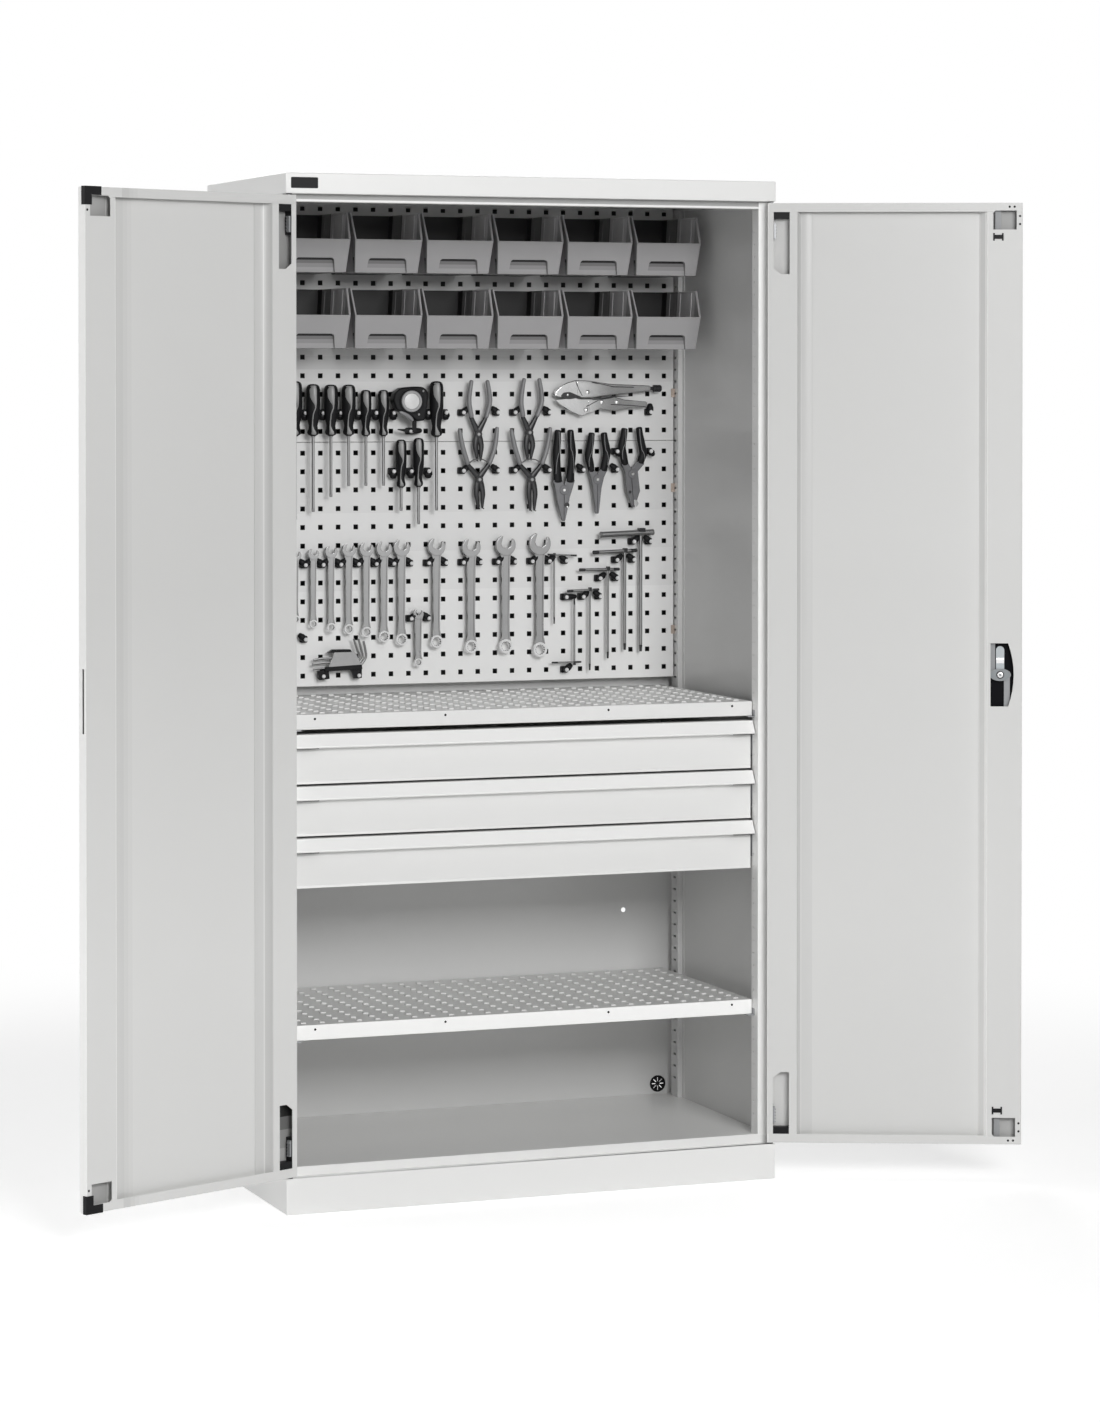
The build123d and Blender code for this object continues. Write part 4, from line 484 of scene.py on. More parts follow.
def show(name: str, data: bpy.types.ID) -> bpy.types.Object:
    """Put data into the scene as a new object.

    Args:
        name: The object's name.
        data: Its mesh, lamp or camera.

    Returns:
        The object.
    """
    made = bpy.data.objects.new(name, data)
    bpy.context.scene.collection.objects.link(made)
    return made


@dataclass
class Piece:
    """A finished piece: its name, body, finish and the CAD nodes that it stands for."""

    name: str
    body: str
    finish: Finish
    nodes: tuple[str, ...]

    def make(self, bm: Mesh) -> bpy.types.Object:
        """Turn a mesh into a shown object that rides on its body.

        Args:
            bm: The mesh, which is freed.

        Returns:
            The new object.
        """
        outward(bm)
        mesh = settle(self.name, bm)
        for polygon in mesh.polygons:
            polygon.use_smooth = True
        mesh.set_sharp_from_angle(angle=SHARP)
        mesh.materials.append(self.finish.material())
        made = show(self.name, mesh)
        even = made.modifiers.new("even_normals", "WEIGHTED_NORMAL")
        even.keep_sharp = True
        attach(made, self.body)
        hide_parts(*self.nodes)
        log.info("%s: %d faces on %s", self.name, len(mesh.polygons), self.body)
        return made


def body_of(node: str) -> str:
    """Body that a CAD node rides on."""
    return frame["nodes"][node]["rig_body"]


def merged_copy(node: str) -> Mesh:
    """A welded copy of a CAD node's mesh with its flat faces joined.

    Args:
        node: The node's name.

    Returns:
        The new mesh.
    """
    bm = bmesh.new()
    bm.from_mesh(frame["nodes"][node].data)
    bmesh.ops.remove_doubles(bm, verts=bm.verts, dist=2e-6)
    bmesh.ops.dissolve_limit(bm, angle_limit=math.radians(1.0), verts=bm.verts, edges=bm.edges)
    return bm


def fresh(count: int) -> list[Mesh]:
    """Some empty meshes."""
    return [bmesh.new() for _ in range(count)]


def hang(node: str, across: float, *parts: tuple[str, Mesh, Finish]) -> None:
    """Weld some meshes, turn their faces outwards and show them on the cabinet in place of one CAD node.

    Args:
        node: The CAD node.
        across: Shift along the wall in millimetres.
        *parts: Name, mesh and finish of each piece.
    """
    for name, bm, finish in parts:
        bmesh.ops.translate(bm, verts=bm.verts, vec=(across * MM, 0, 0))
        bmesh.ops.remove_doubles(bm, verts=bm.verts, dist=WELD)
        bmesh.ops.recalc_face_normals(bm, faces=bm.faces)
        Piece(name, "cabinet", finish, (node,)).make(bm)


# ---- the open doors ----
@dataclass(frozen=True)
class Leaf:
    """One door as it stands open, whose pieces are placed from its hinge edge, outer face and the floor."""

    name: str
    side: int
    hinge: Point = (-503.1, -266.5)
    corner: Point = (-509.0, -272.5)
    swing: float = -156.5
    ends: Point = (74.3, 1956.7)

    def place(self) -> Matrix:
        """Matrix from the door's own millimetres to the cabinet's metres."""
        axis = Matrix.Translation((*self.hinge, 0))
        turned = axis @ Matrix.Rotation(math.radians(self.swing), 4, "Z") @ axis.inverted()
        mirrored = Matrix.Diagonal((-self.side * MM, MM, MM, 1))
        return mirrored @ turned @ Matrix.Translation((*self.corner, 0))

    def hang(self, bm: Mesh) -> Mesh:
        """Move a mesh made in metres from the door's own place to the open door.

        Args:
            bm: Mesh to move.

        Returns:
            The same mesh.
        """
        bmesh.ops.transform(bm, verts=bm.verts, matrix=self.place() @ Matrix.Scale(1 / MM, 4))
        bmesh.ops.recalc_face_normals(bm, faces=bm.faces)
        return bm

    def shades(self, *bands: tuple[float, ...]) -> tuple[Shade, ...]:
        """Parts of the door whose colour is scaled: painted light where lighter and painted shade where darker.

        Args:
            bands: Start and end of each band from the hinge edge and its factor, then perhaps its limits in
                depth and in height and the width of its soft border.

        Returns:
            The bands as turned boxes.
        """
        back = self.place().inverted()
        shift = tuple(back.translation * MM)
        made = []
        for start, end, factor, *limits in bands:
            y0, y1, z0, z1, *soft = limits or (0.7, 1000.0, -1000.0, 3000.0)
            low, high = tuple(Vector((start, y0, z0)) * MM), tuple(Vector((end, y1, z1)) * MM)
            made.append(Shade(low, high, factor, -self.swing, shift, -float(self.side),
                              *(border * MM for border in soft)))
        return tuple(made)


LEFT_LEAF = Leaf("left", -1)
RIGHT_LEAF = Leaf("right", 1)
INNER = (0.7, 15.0)
ALL_DEPTH = (-1000.0, 1000.0)
# painted light: the left door lighter towards its bottom
LEFT_RAMP = ((-1000.0, 1600.0, 1.18, *ALL_DEPTH, -1000.0, 1200.0, 700.0),)
# painted light towards the right door's bottom and painted shade towards its top
RIGHT_RAMP = ((-1000.0, 1600.0, 1.12, *ALL_DEPTH, -1000.0, 1200.0, 700.0),
              (-1000.0, 1600.0, 0.88, *ALL_DEPTH, 1300.0, 3500.0, 600.0))
# painted light and shade on the open doors: painted shadow inside the hinge and corner windows, painted shade on the
# slopes and feet beside the channels, painted highlights on the free edge, the hinge-side flange and the channels'
# ridges
DOOR_LIGHT_AND_SHADE = {
    LEFT_LEAF: {
        "skin": (*LEFT_RAMP,
                 *((-2.0, 32.0, factor, *INNER, *level) for factor, *level in (
                     (0.48, 1800.0, 1945.0), (0.60, 85.0, 130.0), (0.42, 130.0, 165.0), (0.22, 165.0, 190.0),
                     (0.03, 190.0, 218.0))),
                 (506.0, 509.0, 1.36), (405.0, 421.7, 0.87), (395.0, 405.0, 0.92), (385.0, 395.0, 0.96),
                 (446.0, 507.0, 0.60, *INNER, 1890.0, 1950.0), (446.0, 507.0, 0.60, *INNER, 80.0, 140.0)),
        "lock_channel": (*LEFT_RAMP, (435.6, 438.4, 1.20), (410.0, 422.0, 0.86)),
        "hinge_channel": (*LEFT_RAMP, (59.3, 65.8, 0.78), (68.5, 91.0, 0.86)),
    },
    RIGHT_LEAF: {
        "skin": (*RIGHT_RAMP, (-1.0, 2.4, 1.30), (440.0, 506.0, 0.54, *INNER, 1890.0, 1950.0),
                 (440.0, 506.0, 0.70, *INNER, 80.0, 140.0)),
        "lock_channel": (*RIGHT_RAMP, (420.0, 424.5, 1.25), (424.5, 433.0, 1.15), (433.0, 437.0, 1.40),
                         (437.0, 438.8, 1.15)),
        "hinge_channel": (*RIGHT_RAMP, (59.3, 65.8, 0.84), (68.5, 91.0, 0.94)),
    },
}
# darker over the cam plate's oval
LEVER = replace(DULL, name="pale_zinc_plate", colour=(0.56, 0.60, 0.62), drift=(0.50, 0.54, 0.56),
                shades=RIGHT_LEAF.shades((440.0, 490.0, 0.55, -1.0, 30.0, 1002.0, 1026.4)))


# ---- sheet steel ----
@dataclass(frozen=True)
class Fold:
    """How one sheet node is finished: fold radius, rim radius and paint."""

    node: str
    bend: float = 1.4
    rim: float = 0.35
    finish: Finish = WHITE


@dataclass
class Casework:
    """Carcass, doors, shelves and drawers: every folded sheet with rolled edges."""

    # finishes other than WHITE carry painted light and shade
    folds: list[Fold] = field(default_factory=lambda: [
        Fold("top_cap", 2.0), Fold("plinth", 2.0, 0.35, PLINTH_PAINTED_LIGHT), Fold("floor_pan", 1.4, 0.35, GROUND_PAINTED_LIGHT),
        Fold("left_side_panel", 0, 0.35, WALL), Fold("right_side_panel", 0, 0.35, WALL),
        Fold("back_panel", 0, 0, BACK_PAINTED_SHADE), Fold("front_posts", 1.4, 0.35, POST_PAINTED_LIGHT), Fold("ceiling_frame", 1.4, 0.35, RAIL_PAINTED_SHADOW),
        Fold("rear_posts", 1.2, 0.3, WALL), Fold("upper_perforated_panel", 1.4, 0.0, PANEL),
        Fold("lower_perforated_panel", 1.4, 0.0, LOW_PANEL_PAINTED_LIGHT), Fold("upper_shelf", 1.6),
        Fold("lower_shelf", 1.6, 0.35, EDGE),
        # doors: the darker door copy with the painted light and shade of their table
        *[Fold(f"{leaf.name}_door_{part}", 1.0 if part == "hinge_channel" else 1.5, 0.35,
               replace(DOOR, name=f"white_powder_coat_{leaf.name}_{part}", shades=leaf.shades(*bands)))
          for leaf, parts in DOOR_LIGHT_AND_SHADE.items() for part, bands in parts.items()],
        *[Fold(f"drawer_{number}_{part}", 1.2, 0.35, finish) for number in (1, 2, 3)
          for part, finish in (("box", WHITE), ("handle", POST_PAINTED_LIGHT))],
    ])
    squares: tuple[int, int] = (25, 12)
    square: Spot = (11.0, 9.0, 2.5)
    pitch: float = 38.0
    first_in: float = 25.0
    sunk: float = 0.1
    lip: Point = (1.6, 5.4)
    lip_ends: float = 0.4
    lip_slope: float = 1.45

    def build(self) -> None:
        """Make every folded sheet."""
        for fold in self.folds:
            bm = merged_copy(fold.node)
            soften(bm, fold.bend, fold.rim)
            if fold.node.endswith("_shelf"):
                self._grip(bm, fold.node)
            elif fold.node.endswith("_box"):
                self._lip(bm, fold.node)
            Piece(f"{fold.node}_sheet", body_of(fold.node), fold.finish, (fold.node,)).make(bm)

    def _grip(self, bm: Mesh, node: str) -> None:
        """Add the raised squares on a shelf.

        Args:
            bm: Mesh to add to.
            node: The shelf's node.
        """
        low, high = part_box(node)
        across, along = self.squares
        for column in range(across):
            for line in range(along):
                x = (column - (across - 1) / 2) * self.pitch
                y = low[1] / MM + self.first_in + line * self.pitch
                base, top, rise = self.square
                made = bmesh.ops.create_cone(bm, cap_ends=True, segments=4, radius1=base * math.sqrt(0.5) * MM,
                                             radius2=top * math.sqrt(0.5) * MM, depth=rise * MM)["verts"]
                turn = Matrix.Translation((x * MM, y * MM, high[2] + rise * MM / 2 - self.sunk * MM))
                bmesh.ops.transform(bm, verts=made, matrix=turn @ Matrix.Rotation(math.pi / 4, 4, "Z"))

    def _lip(self, bm: Mesh, node: str) -> None:
        """Add the folded edge along the foot of a drawer's front.

        Args:
            bm: Mesh to add to.
            node: The drawer's node.
        """
        low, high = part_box(node)
        deep, tall = self.lip
        front, foot, half = low[1] / MM, low[2] / MM, high[0] / MM - self.lip_ends
        made = block(bm, (-half, half), (front - deep, front + 0.3), (foot + 0.2, foot + tall))
        for vert in made:
            if vert.co.z > (foot + 1) * MM and vert.co.y < front * MM:
                vert.co.y += self.lip_slope * MM
        round_edges(bm, made, 0.3, 2, 20.0)


# ---- small CAD parts that keep their shape ----
@dataclass
class Fittings:
    """Rails, rods, clips and plugs: welded copies with fine edges."""

    finishes: dict[str, Finish] = field(default_factory=lambda: {
        "panel_clips": COPPER, "shelf_clips": ZINC, "vent_plug": BLACK, "name_plate": BLACK,
        "pivot_bushes": BLACK, "runner_fixed_members": ZINC, "upper_rod": DULL, "lower_rod": DULL,
        "key_cylinder": ZINC, "cam_lever": LEVER, "lock_housing": JET_PAINTED_SHADE, "swing_handle": BLACK,
        "left_door_pivot_housings": BLACK, "right_door_pivot_housings": BLACK,
        "left_door_pivot_pins": ZINC, "right_door_pivot_pins": ZINC,
        "left_door_corner_guards": BLACK, "right_door_rod_guides": BLACK,
        **{f"drawer_{number}_runner_{part}": ZINC for number in (1, 2, 3) for part in ("middle", "inner")},
    })
    edge: float = 0.4

    def build(self) -> None:
        """Make every fitting."""
        for node, finish in self.finishes.items():
            bm = merged_copy(node)
            soften(bm, self.edge, 0.0, segments=2)
            Piece(f"{node}_fitting", body_of(node), finish, (node,)).make(bm)


# ---- shaping helpers for the small pieces ----
def round_edges(bm: Mesh, verts: Verts, radius: float,
                segments: int = 2, angle: float = 40.0) -> None:
    """Round the sharp edges of one shape.

    Args:
        bm: Mesh to change.
        verts: Vertices of the shape.
        radius: Radius in millimetres.
        segments: Steps of the rounding.
        angle: Smallest fold in degrees that counts as sharp.
    """
    near = dict.fromkeys(edge for vert in verts if vert.is_valid for edge in vert.link_edges)
    edges = [edge for edge in near if len(edge.link_faces) == 2
             and edge.calc_face_angle(0.0) > math.radians(angle)]
    bevel(bm, edges, radius, segments)


def slab(bm: Mesh, outline: list[Point], y: Point, corner: float = 0.0,
         edge: float = 0.0, segments: int = 2) -> Verts:
    """Add a flat part that faces the front, with rounded corners and softened rims.

    Args:
        bm: Mesh to add to.
        outline: Corners as x and z in millimetres.
        y: Front and back in millimetres.
        corner: Radius of the outline's corners.
        edge: Radius of the rims.
        segments: Steps of each rounding.

    Returns:
        The new vertices.
    """
    corners = [bm.verts.new((px * MM, y[0] * MM, pz * MM)) for px, pz in outline]
    face = bm.faces.new(corners)
    if corner > 0:
        made = bevel(bm, corners, corner, segments + 1, "VERTICES")
        face = faces_of(made["verts"])[0]
    every = list(face.verts) + thicken(bm, [face], y[1] - y[0])
    bmesh.ops.recalc_face_normals(bm, faces=faces_of(every))
    if edge > 0:
        round_edges(bm, every, edge, segments)
    return every


def bar(bm: Mesh, start: Spot, end: Spot, radius: float, tip: float | None = None,
        segments: int = 14, edge: float = 0.5) -> None:
    """Add a round bar with softened ends.

    Args:
        bm: Mesh to add to.
        start: First end in millimetres.
        end: Second end in millimetres.
        radius: Radius at the start.
        tip: Radius at the end, if it tapers.
        segments: Sides of the bar.
        edge: Radius of the softened ends.
    """
    a, b = Vector(start) * MM, Vector(end) * MM
    far = radius if tip is None else tip
    made = bmesh.ops.create_cone(bm, cap_ends=True, segments=segments, radius1=radius * MM, radius2=far * MM,
                                 depth=(b - a).length, matrix=aimed((a + b) / 2, b - a))
    round_edges(bm, made["verts"], edge, 1, 50.0)


def _rounded_end(end: tuple, near: tuple, dome: float) -> list[tuple]:
    """Stations that round one end of a tube.

    Args:
        end: Place and size of the end.
        near: Place and size of the station beside it.
        dome: How far the end is rounded, in half widths.

    Returns:
        Places and sizes from the end inwards.
    """
    where, size = end
    inward = near[0] - where
    reach = min(dome * min(size), inward.length * 0.9)
    inward.normalize()
    return [(where + inward * reach * share, tuple(side * scale for side in size))
            for share, scale in ((0.0, 0.35), (0.12, 0.66), (0.45, 0.9), (1.0, 1.0))]


def sweep(bm: Mesh, stations: list[Row], segments: int = 12,
          dome: float = 0.8) -> None:
    """Add a closed tube along a path in front of the tool wall, with a width and a depth at each station.

    Args:
        bm: Mesh to add to.
        stations: x, y, z, half width and half depth of each station in millimetres.
        segments: Sides of the tube.
        dome: How far the ends are rounded, in half widths.
    """
    line = [(Vector(station[:3]), tuple(station[3:])) for station in stations]
    first, last = _rounded_end(line[0], line[1], dome), _rounded_end(line[-1], line[-2], dome)
    line = first + line[1:-1] + last[::-1]
    places, sizes = [place for place, _ in line], [size for _, size in line]
    rings = []
    for index, (place, size) in enumerate(zip(places, sizes)):
        before, after = places[max(index - 1, 0)], places[min(index + 1, len(places) - 1)]
        along = (after - before).normalized()
        depth = Vector((0, 1, 0))
        depth = (depth - along * depth.dot(along)).normalized()
        across = depth.cross(along)
        turn = Matrix((across * size[0], depth * size[1], along)).transposed().to_4x4()
        made = bmesh.ops.create_circle(bm, cap_ends=False, radius=MM, segments=segments,
                                       matrix=Matrix.Translation(place * MM) @ turn)
        rings.append(made["verts"])
    for first, second in zip(rings, rings[1:]):
        edges = dict.fromkeys(edge for ring in (first, second) for vert in ring for edge in vert.link_edges
                              if all(other in ring for other in edge.verts))
        bmesh.ops.bridge_loops(bm, edges=list(edges))
    for ring in (rings[0], rings[-1]):
        bm.faces.new(ring)


def curve(points: list[Row], steps: int = 4) -> list[Row]:
    """Smooth line through points with any number of coordinates.

    Args:
        points: The points to pass through.
        steps: Stations between two points.

    Returns:
        The stations of the smooth line.
    """
    line = []
    for i in range(len(points) - 1):
        p0, p1 = points[max(i - 1, 0)], points[i]
        p2, p3 = points[i + 1], points[min(i + 2, len(points) - 1)]
        for step in range(steps):
            t = step / steps
            line.append(tuple(
                0.5 * (2 * b + (c - a) * t + (2 * a - 5 * b + 4 * c - d) * t * t
                       + (3 * b - a - 3 * c + d) * t ** 3)
                for a, b, c, d in zip(p0, p1, p2, p3)))
    return line + [tuple(points[-1])]


def between(start: Point, end: Point, share: float) -> Point:
    """Point part of the way from one point to another."""
    return (start[0] + (end[0] - start[0]) * share, start[1] + (end[1] - start[1]) * share)


def level_with(y: float, *points: tuple) -> list[Row]:
    """Stations of a tube at one depth, from a wall point and half sizes each."""
    return [(x, y, z, *size) for (x, z), *size in points]


# ---- details of the casework ----
@dataclass
class Details:
    """Black discs and strips as painted shade in the small holes, end plugs of the drawer handles and the lock's
    screw, washer and bend.
    """

    shelf_holes: tuple[float, ...] = (-438.5, -171.5, 171.5, 438.5)
    shelf_front: float = -222.5
    shelf_down: float = 9
    hole: float = 2.4
    door_hole: float = 2.3
    door_face: float = 20
    door_holes: tuple[Point, ...] = ((481.3, 1948.7), (491.2, 1948.7), (502, 1930.2), (502, 1914.1))
    lock: Point = (464.3, 1014.5)
    cam_face: float = 16.8
    post_slots: tuple[float, float, float] = (484.9, -228.5, 3.4)
    drawer_face: float = -220.5
    plug_wide: Point = (47, 0.8)
    plug_deep: Point = (17.2, 1)
    plug_rise: Point = (-1.2, 2.5)
    plug_slope: float = 13
    slot_ends: float = 6
    slot_thick: float = 0.2

    def build(self) -> None:
        """Make every detail."""
        # black discs in the holes of the shelves and doors: painted shade inside the holes
        holes = bmesh.new()
        for node in ("upper_shelf", "lower_shelf"):
            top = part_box(node)[1][2] / MM
            for x in self.shelf_holes:
                self._plug(holes, (x, self.shelf_front, top - self.shelf_down), FRONT, self.hole)
        Piece("shelf_holes", "cabinet", BLACK, ("upper_shelf", "lower_shelf")).make(holes)
        self._slots()
        for leaf, points in ((LEFT_LEAF, self.door_holes[3:]), (RIGHT_LEAF, self.door_holes)):
            plugs = bmesh.new()
            for x, z in points:
                for level in (z, sum(leaf.ends) - z):
                    self._plug(plugs, (x, self.door_face, level), INWARDS, self.door_hole)
            Piece(f"{leaf.name}_door_holes", f"{leaf.name}_door", BLACK,
                  (f"{leaf.name}_door_lock_channel",)).make(leaf.hang(plugs))
        for number in (1, 2, 3):
            self._end_plugs(number)
        self._cam()

    def _plug(self, bm: Mesh, centre: Spot, axis: Spot, radius: float) -> None:
        """Add a black disc in a small round hole: painted shade inside the hole.

        Args:
            bm: Mesh to add to.
            centre: Middle of the hole on the sheet's face.
            axis: Direction out of the sheet.
            radius: Radius of the hole.
        """
        lathe(bm, [(0, -0.5), (radius, -0.5), (radius, 0.1), (radius - 0.3, 0.16), (0, 0.12)], centre, axis, 16)

    def _slots(self) -> None:
        """Make the black strips behind the rows of small holes in the front posts: painted shade inside the posts."""
        low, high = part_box("front_posts")
        x, y, half = self.post_slots
        bm = bmesh.new()
        for side in (-1, 1):
            made = block(bm, (side * x - self.slot_thick, side * x + self.slot_thick), (y - half, y + half),
                         (low[2] / MM + self.slot_ends, high[2] / MM - self.slot_ends))
            round_edges(bm, made, 0.08, 1)
        Piece("post_hole_liners", "cabinet", BLACK, ("front_posts",)).make(bm)

    def _end_plugs(self, number: int) -> None:
        """Make the two plugs under the ends of a drawer's handle.

        Args:
            number: The drawer, counted from the top.
        """
        low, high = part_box(f"drawer_{number}_handle")
        foot, half = low[2] / MM, high[0] / MM
        bm = bmesh.new()
        for side in (-1, 1):
            made = block(bm, sorted(side * (half - inset) for inset in self.plug_wide),
                         [self.drawer_face - deep for deep in self.plug_deep],
                         [foot + rise for rise in self.plug_rise])
            for vert in made:
                if vert.co.y > (self.drawer_face - 5) * MM:
                    vert.co.z += self.plug_slope * MM
            round_edges(bm, made, 0.4, 2)
        Piece(f"drawer_{number}_end_plugs", f"drawer_{number}", BLACK, (f"drawer_{number}_handle",)).make(bm)

    def _cam(self) -> None:
        """Make the cam plate's rim, the washer, the screw and the lever's bright bend."""
        (x, z), face_y = self.lock, self.cam_face
        rim, dark, bright = fresh(3)
        ring = bmesh.ops.create_circle(rim, cap_ends=True, radius=MM, segments=40)["verts"]
        bmesh.ops.transform(rim, verts=ring, matrix=Matrix.Translation(Vector((x, face_y, z)) * MM)
                            @ Matrix.Diagonal((21.2, 1, 12.1, 1)) @ Matrix.Rotation(math.pi / 2, 4, "X"))
        inner = rim.faces[:]
        bmesh.ops.inset_region(rim, faces=inner, thickness=1.1 * MM, depth=0, use_boundary=True,
                               use_even_offset=True)
        bmesh.ops.delete(rim, geom=inner, context="FACES_ONLY")
        thicken(rim, rim.faces[:], 0.6)
        bmesh.ops.recalc_face_normals(rim, faces=rim.faces)
        lathe(dark, [(5.4, 0), (7.8, 0), (7.8, 0.5), (7.2, 0.8), (5.4, 0.8)], (x, face_y, z),
              INWARDS, 28)
        lathe(bright, [(0, 0), (5.6, 0), (5.6, 2.3), (4.6, 2.9), (2.6, 2.9), (2.2, 1.4), (0, 1.4)],
              (x, face_y, z), INWARDS, 24)
        bend = block(bright, (x - 7.9, x + 7.9), (13.6, 14.9), (1037.5, 1048.5))
        for vert in bend:
            if vert.co.y > 14 * MM and vert.co.z > 1043 * MM:
                vert.co.z -= 3 * MM
        round_edges(bright, bend, 0.4, 2, 20)
        for name, bm, finish in (("cam_plate_rim", rim, DULL), ("cam_washer", dark, BLACK_STEEL),
                                 ("cam_screw_and_bend", bright, BRIGHT)):
            Piece(name, "lock_handle", finish, ("cam_lever",)).make(RIGHT_LEAF.hang(bm))


# ---- bins ----
@dataclass
class Bins:
    """Two rows of open-fronted bins with a finger pocket, ribs and a light rim."""

    first: float = 406
    pitch: float = 152
    count: int = 6
    bottoms: dict[str, float] = field(default_factory=lambda: {"upper": 1819, "lower": 1667})
    back: float = 228
    high: float = 121
    lip: float = 66
    base_half: float = 67.2
    flare: float = 7.5
    taper: float = 8
    reach: float = 196
    lean: float = 17
    mouth: float = 169.5
    wall: float = 2.2
    pocket: Point = (39.5, 29)
    pocket_foot: float = 43
    pocket_back: Point = (-173, -177)
    bead: float = 2
    bead_in: float = 1.7
    bead_edge: float = 0.4
    lip_bead: float = 1.9
    rib: float = 1.4
    ribs: tuple[Point, ...] = ((-150, -118), (-96, -66), (-44, -18))

    def build(self) -> None:
        """Make both rows."""
        for row, bottom in self.bottoms.items():
            bm = bmesh.new()
            for index in range(self.count):
                one = bmesh.new()
                self._bin(one)
                bmesh.ops.translate(one, verts=one.verts,
                                    vec=((self.first - index * self.pitch) * MM, self.back * MM, bottom * MM))
                add(bm, one)
            Piece(f"{row}_bins", "cabinet", GREY, (f"bins_{row}_row",)).make(bm)

    def _side(self, y: float, z: float) -> float:
        """Half width of the bin at a depth and a height."""
        return self.base_half + self.flare * z / self.high - self.taper * (y + self.reach) / self.reach

    def _bin(self, bm: Mesh) -> None:
        """Make one bin with its back at y = 0 and its bottom at z = 0.

        Args:
            bm: Empty mesh to fill.
        """
        front = self.lean - self.reach
        profile = [(front, 0), (-self.reach, self.lip), (-self.mouth, self.high), (0, self.high), (0, 0)]
        sides = [[bm.verts.new((sign * self._side(y, z) * MM, y * MM, z * MM)) for y, z in profile]
                 for sign in (-1, 1)]
        half, top = self.pocket
        level = front - self.lean * top / self.lip
        arch = [(-self.pocket_foot, front, 0), (-half, level, top), (half, level, top),
                (self.pocket_foot, front, 0)]
        near = [bm.verts.new((x * MM, y * MM, z * MM)) for x, y, z in arch]
        far = [bm.verts.new((x * MM, self.pocket_back[z > 0] * MM, z * MM)) for x, _, z in arch]
        (a0, b0, _, d0, e0), (a1, b1, _, d1, e1) = sides
        for corners in (sides[0], sides[1], [e0, e1, d1, d0], [a0, *near, a1, b1, b0], far,
                        [a0, near[0], far[0], far[3], near[3], a1, e1, e0],
                        *[[near[i], near[i + 1], far[i + 1], far[i]] for i in range(3)]):
            bm.faces.new(corners)
        bmesh.ops.recalc_face_normals(bm, faces=bm.faces)
        arches = [bm.edges.get((near[i], far[i])) for i in (1, 2)]
        folds = [bm.edges.get(pair) for pair in ((a0, b0), (a1, b1), (a0, e0), (a1, e1))]
        rear = [bm.edges.get(pair) for pair in ((e0, d0), (e1, d1))]
        for edges, radius in ((arches, 6), (folds, 1.6), (rear, 4)):
            bevel(bm, [edge for edge in edges if edge and edge.is_valid], radius, 4)
        bmesh.ops.recalc_face_normals(bm, faces=bm.faces)
        bmesh.ops.solidify(bm, geom=bm.faces[:], thickness=self.wall * MM)
        fill(bm, bm.edges[:])
        self._rim(bm)
        self._ribs(bm)

    def _rim(self, bm: Mesh) -> None:
        """Add the bead along the mouth and the top edges.

        Args:
            bm: Mesh to add to.
        """
        path = [(-self.reach + 2.2, self.lip - 1.5), (-self.mouth + 2, self.high - 2), (-1.5, self.high - 2)]
        for sign in (-1, 1):
            for (y0, z0), (y1, z1) in zip(path, path[1:]):
                start, end = ((sign * (self._side(y, z) - self.bead_in), y, z) for y, z in ((y0, z0), (y1, z1)))
                bar(bm, start, end, self.bead, segments=10, edge=self.bead_edge)
        lip = -self.reach + self.lip_bead
        half = self._side(lip, self.lip) - self.bead
        ends = ((side, lip, self.lip - 1.8) for side in (-half, half))
        bar(bm, *ends, self.lip_bead, segments=10, edge=self.bead_edge)

    def _ribs(self, bm: Mesh) -> None:
        """Add the upright pads inside the side walls.

        Args:
            bm: Mesh to add to.
        """
        for sign in (-1, 1):
            for y in self.ribs:
                made = block(bm, (0, self.rib), y, (self.wall, self.high - 3))
                for vert in made:
                    inward = self.wall - 0.4 + vert.co.x / MM
                    depth, level = vert.co.y / MM, vert.co.z / MM
                    vert.co.x = sign * (self._side(depth, level) - inward) * MM
                bmesh.ops.recalc_face_normals(bm, faces=faces_of(made))
                round_edges(bm, made, 0.3, 1)


def add(bm: Mesh, other: Mesh) -> None:
    """Pour one mesh into another and free it.

    Args:
        bm: Mesh that grows.
        other: Mesh that is used up.
    """
    spare = settle("spare", other)
    bm.from_mesh(spare)
    bpy.data.meshes.remove(spare)


# ---- hand tools on the wall ----
WALL_Y = 228
TOOL_Y = 214


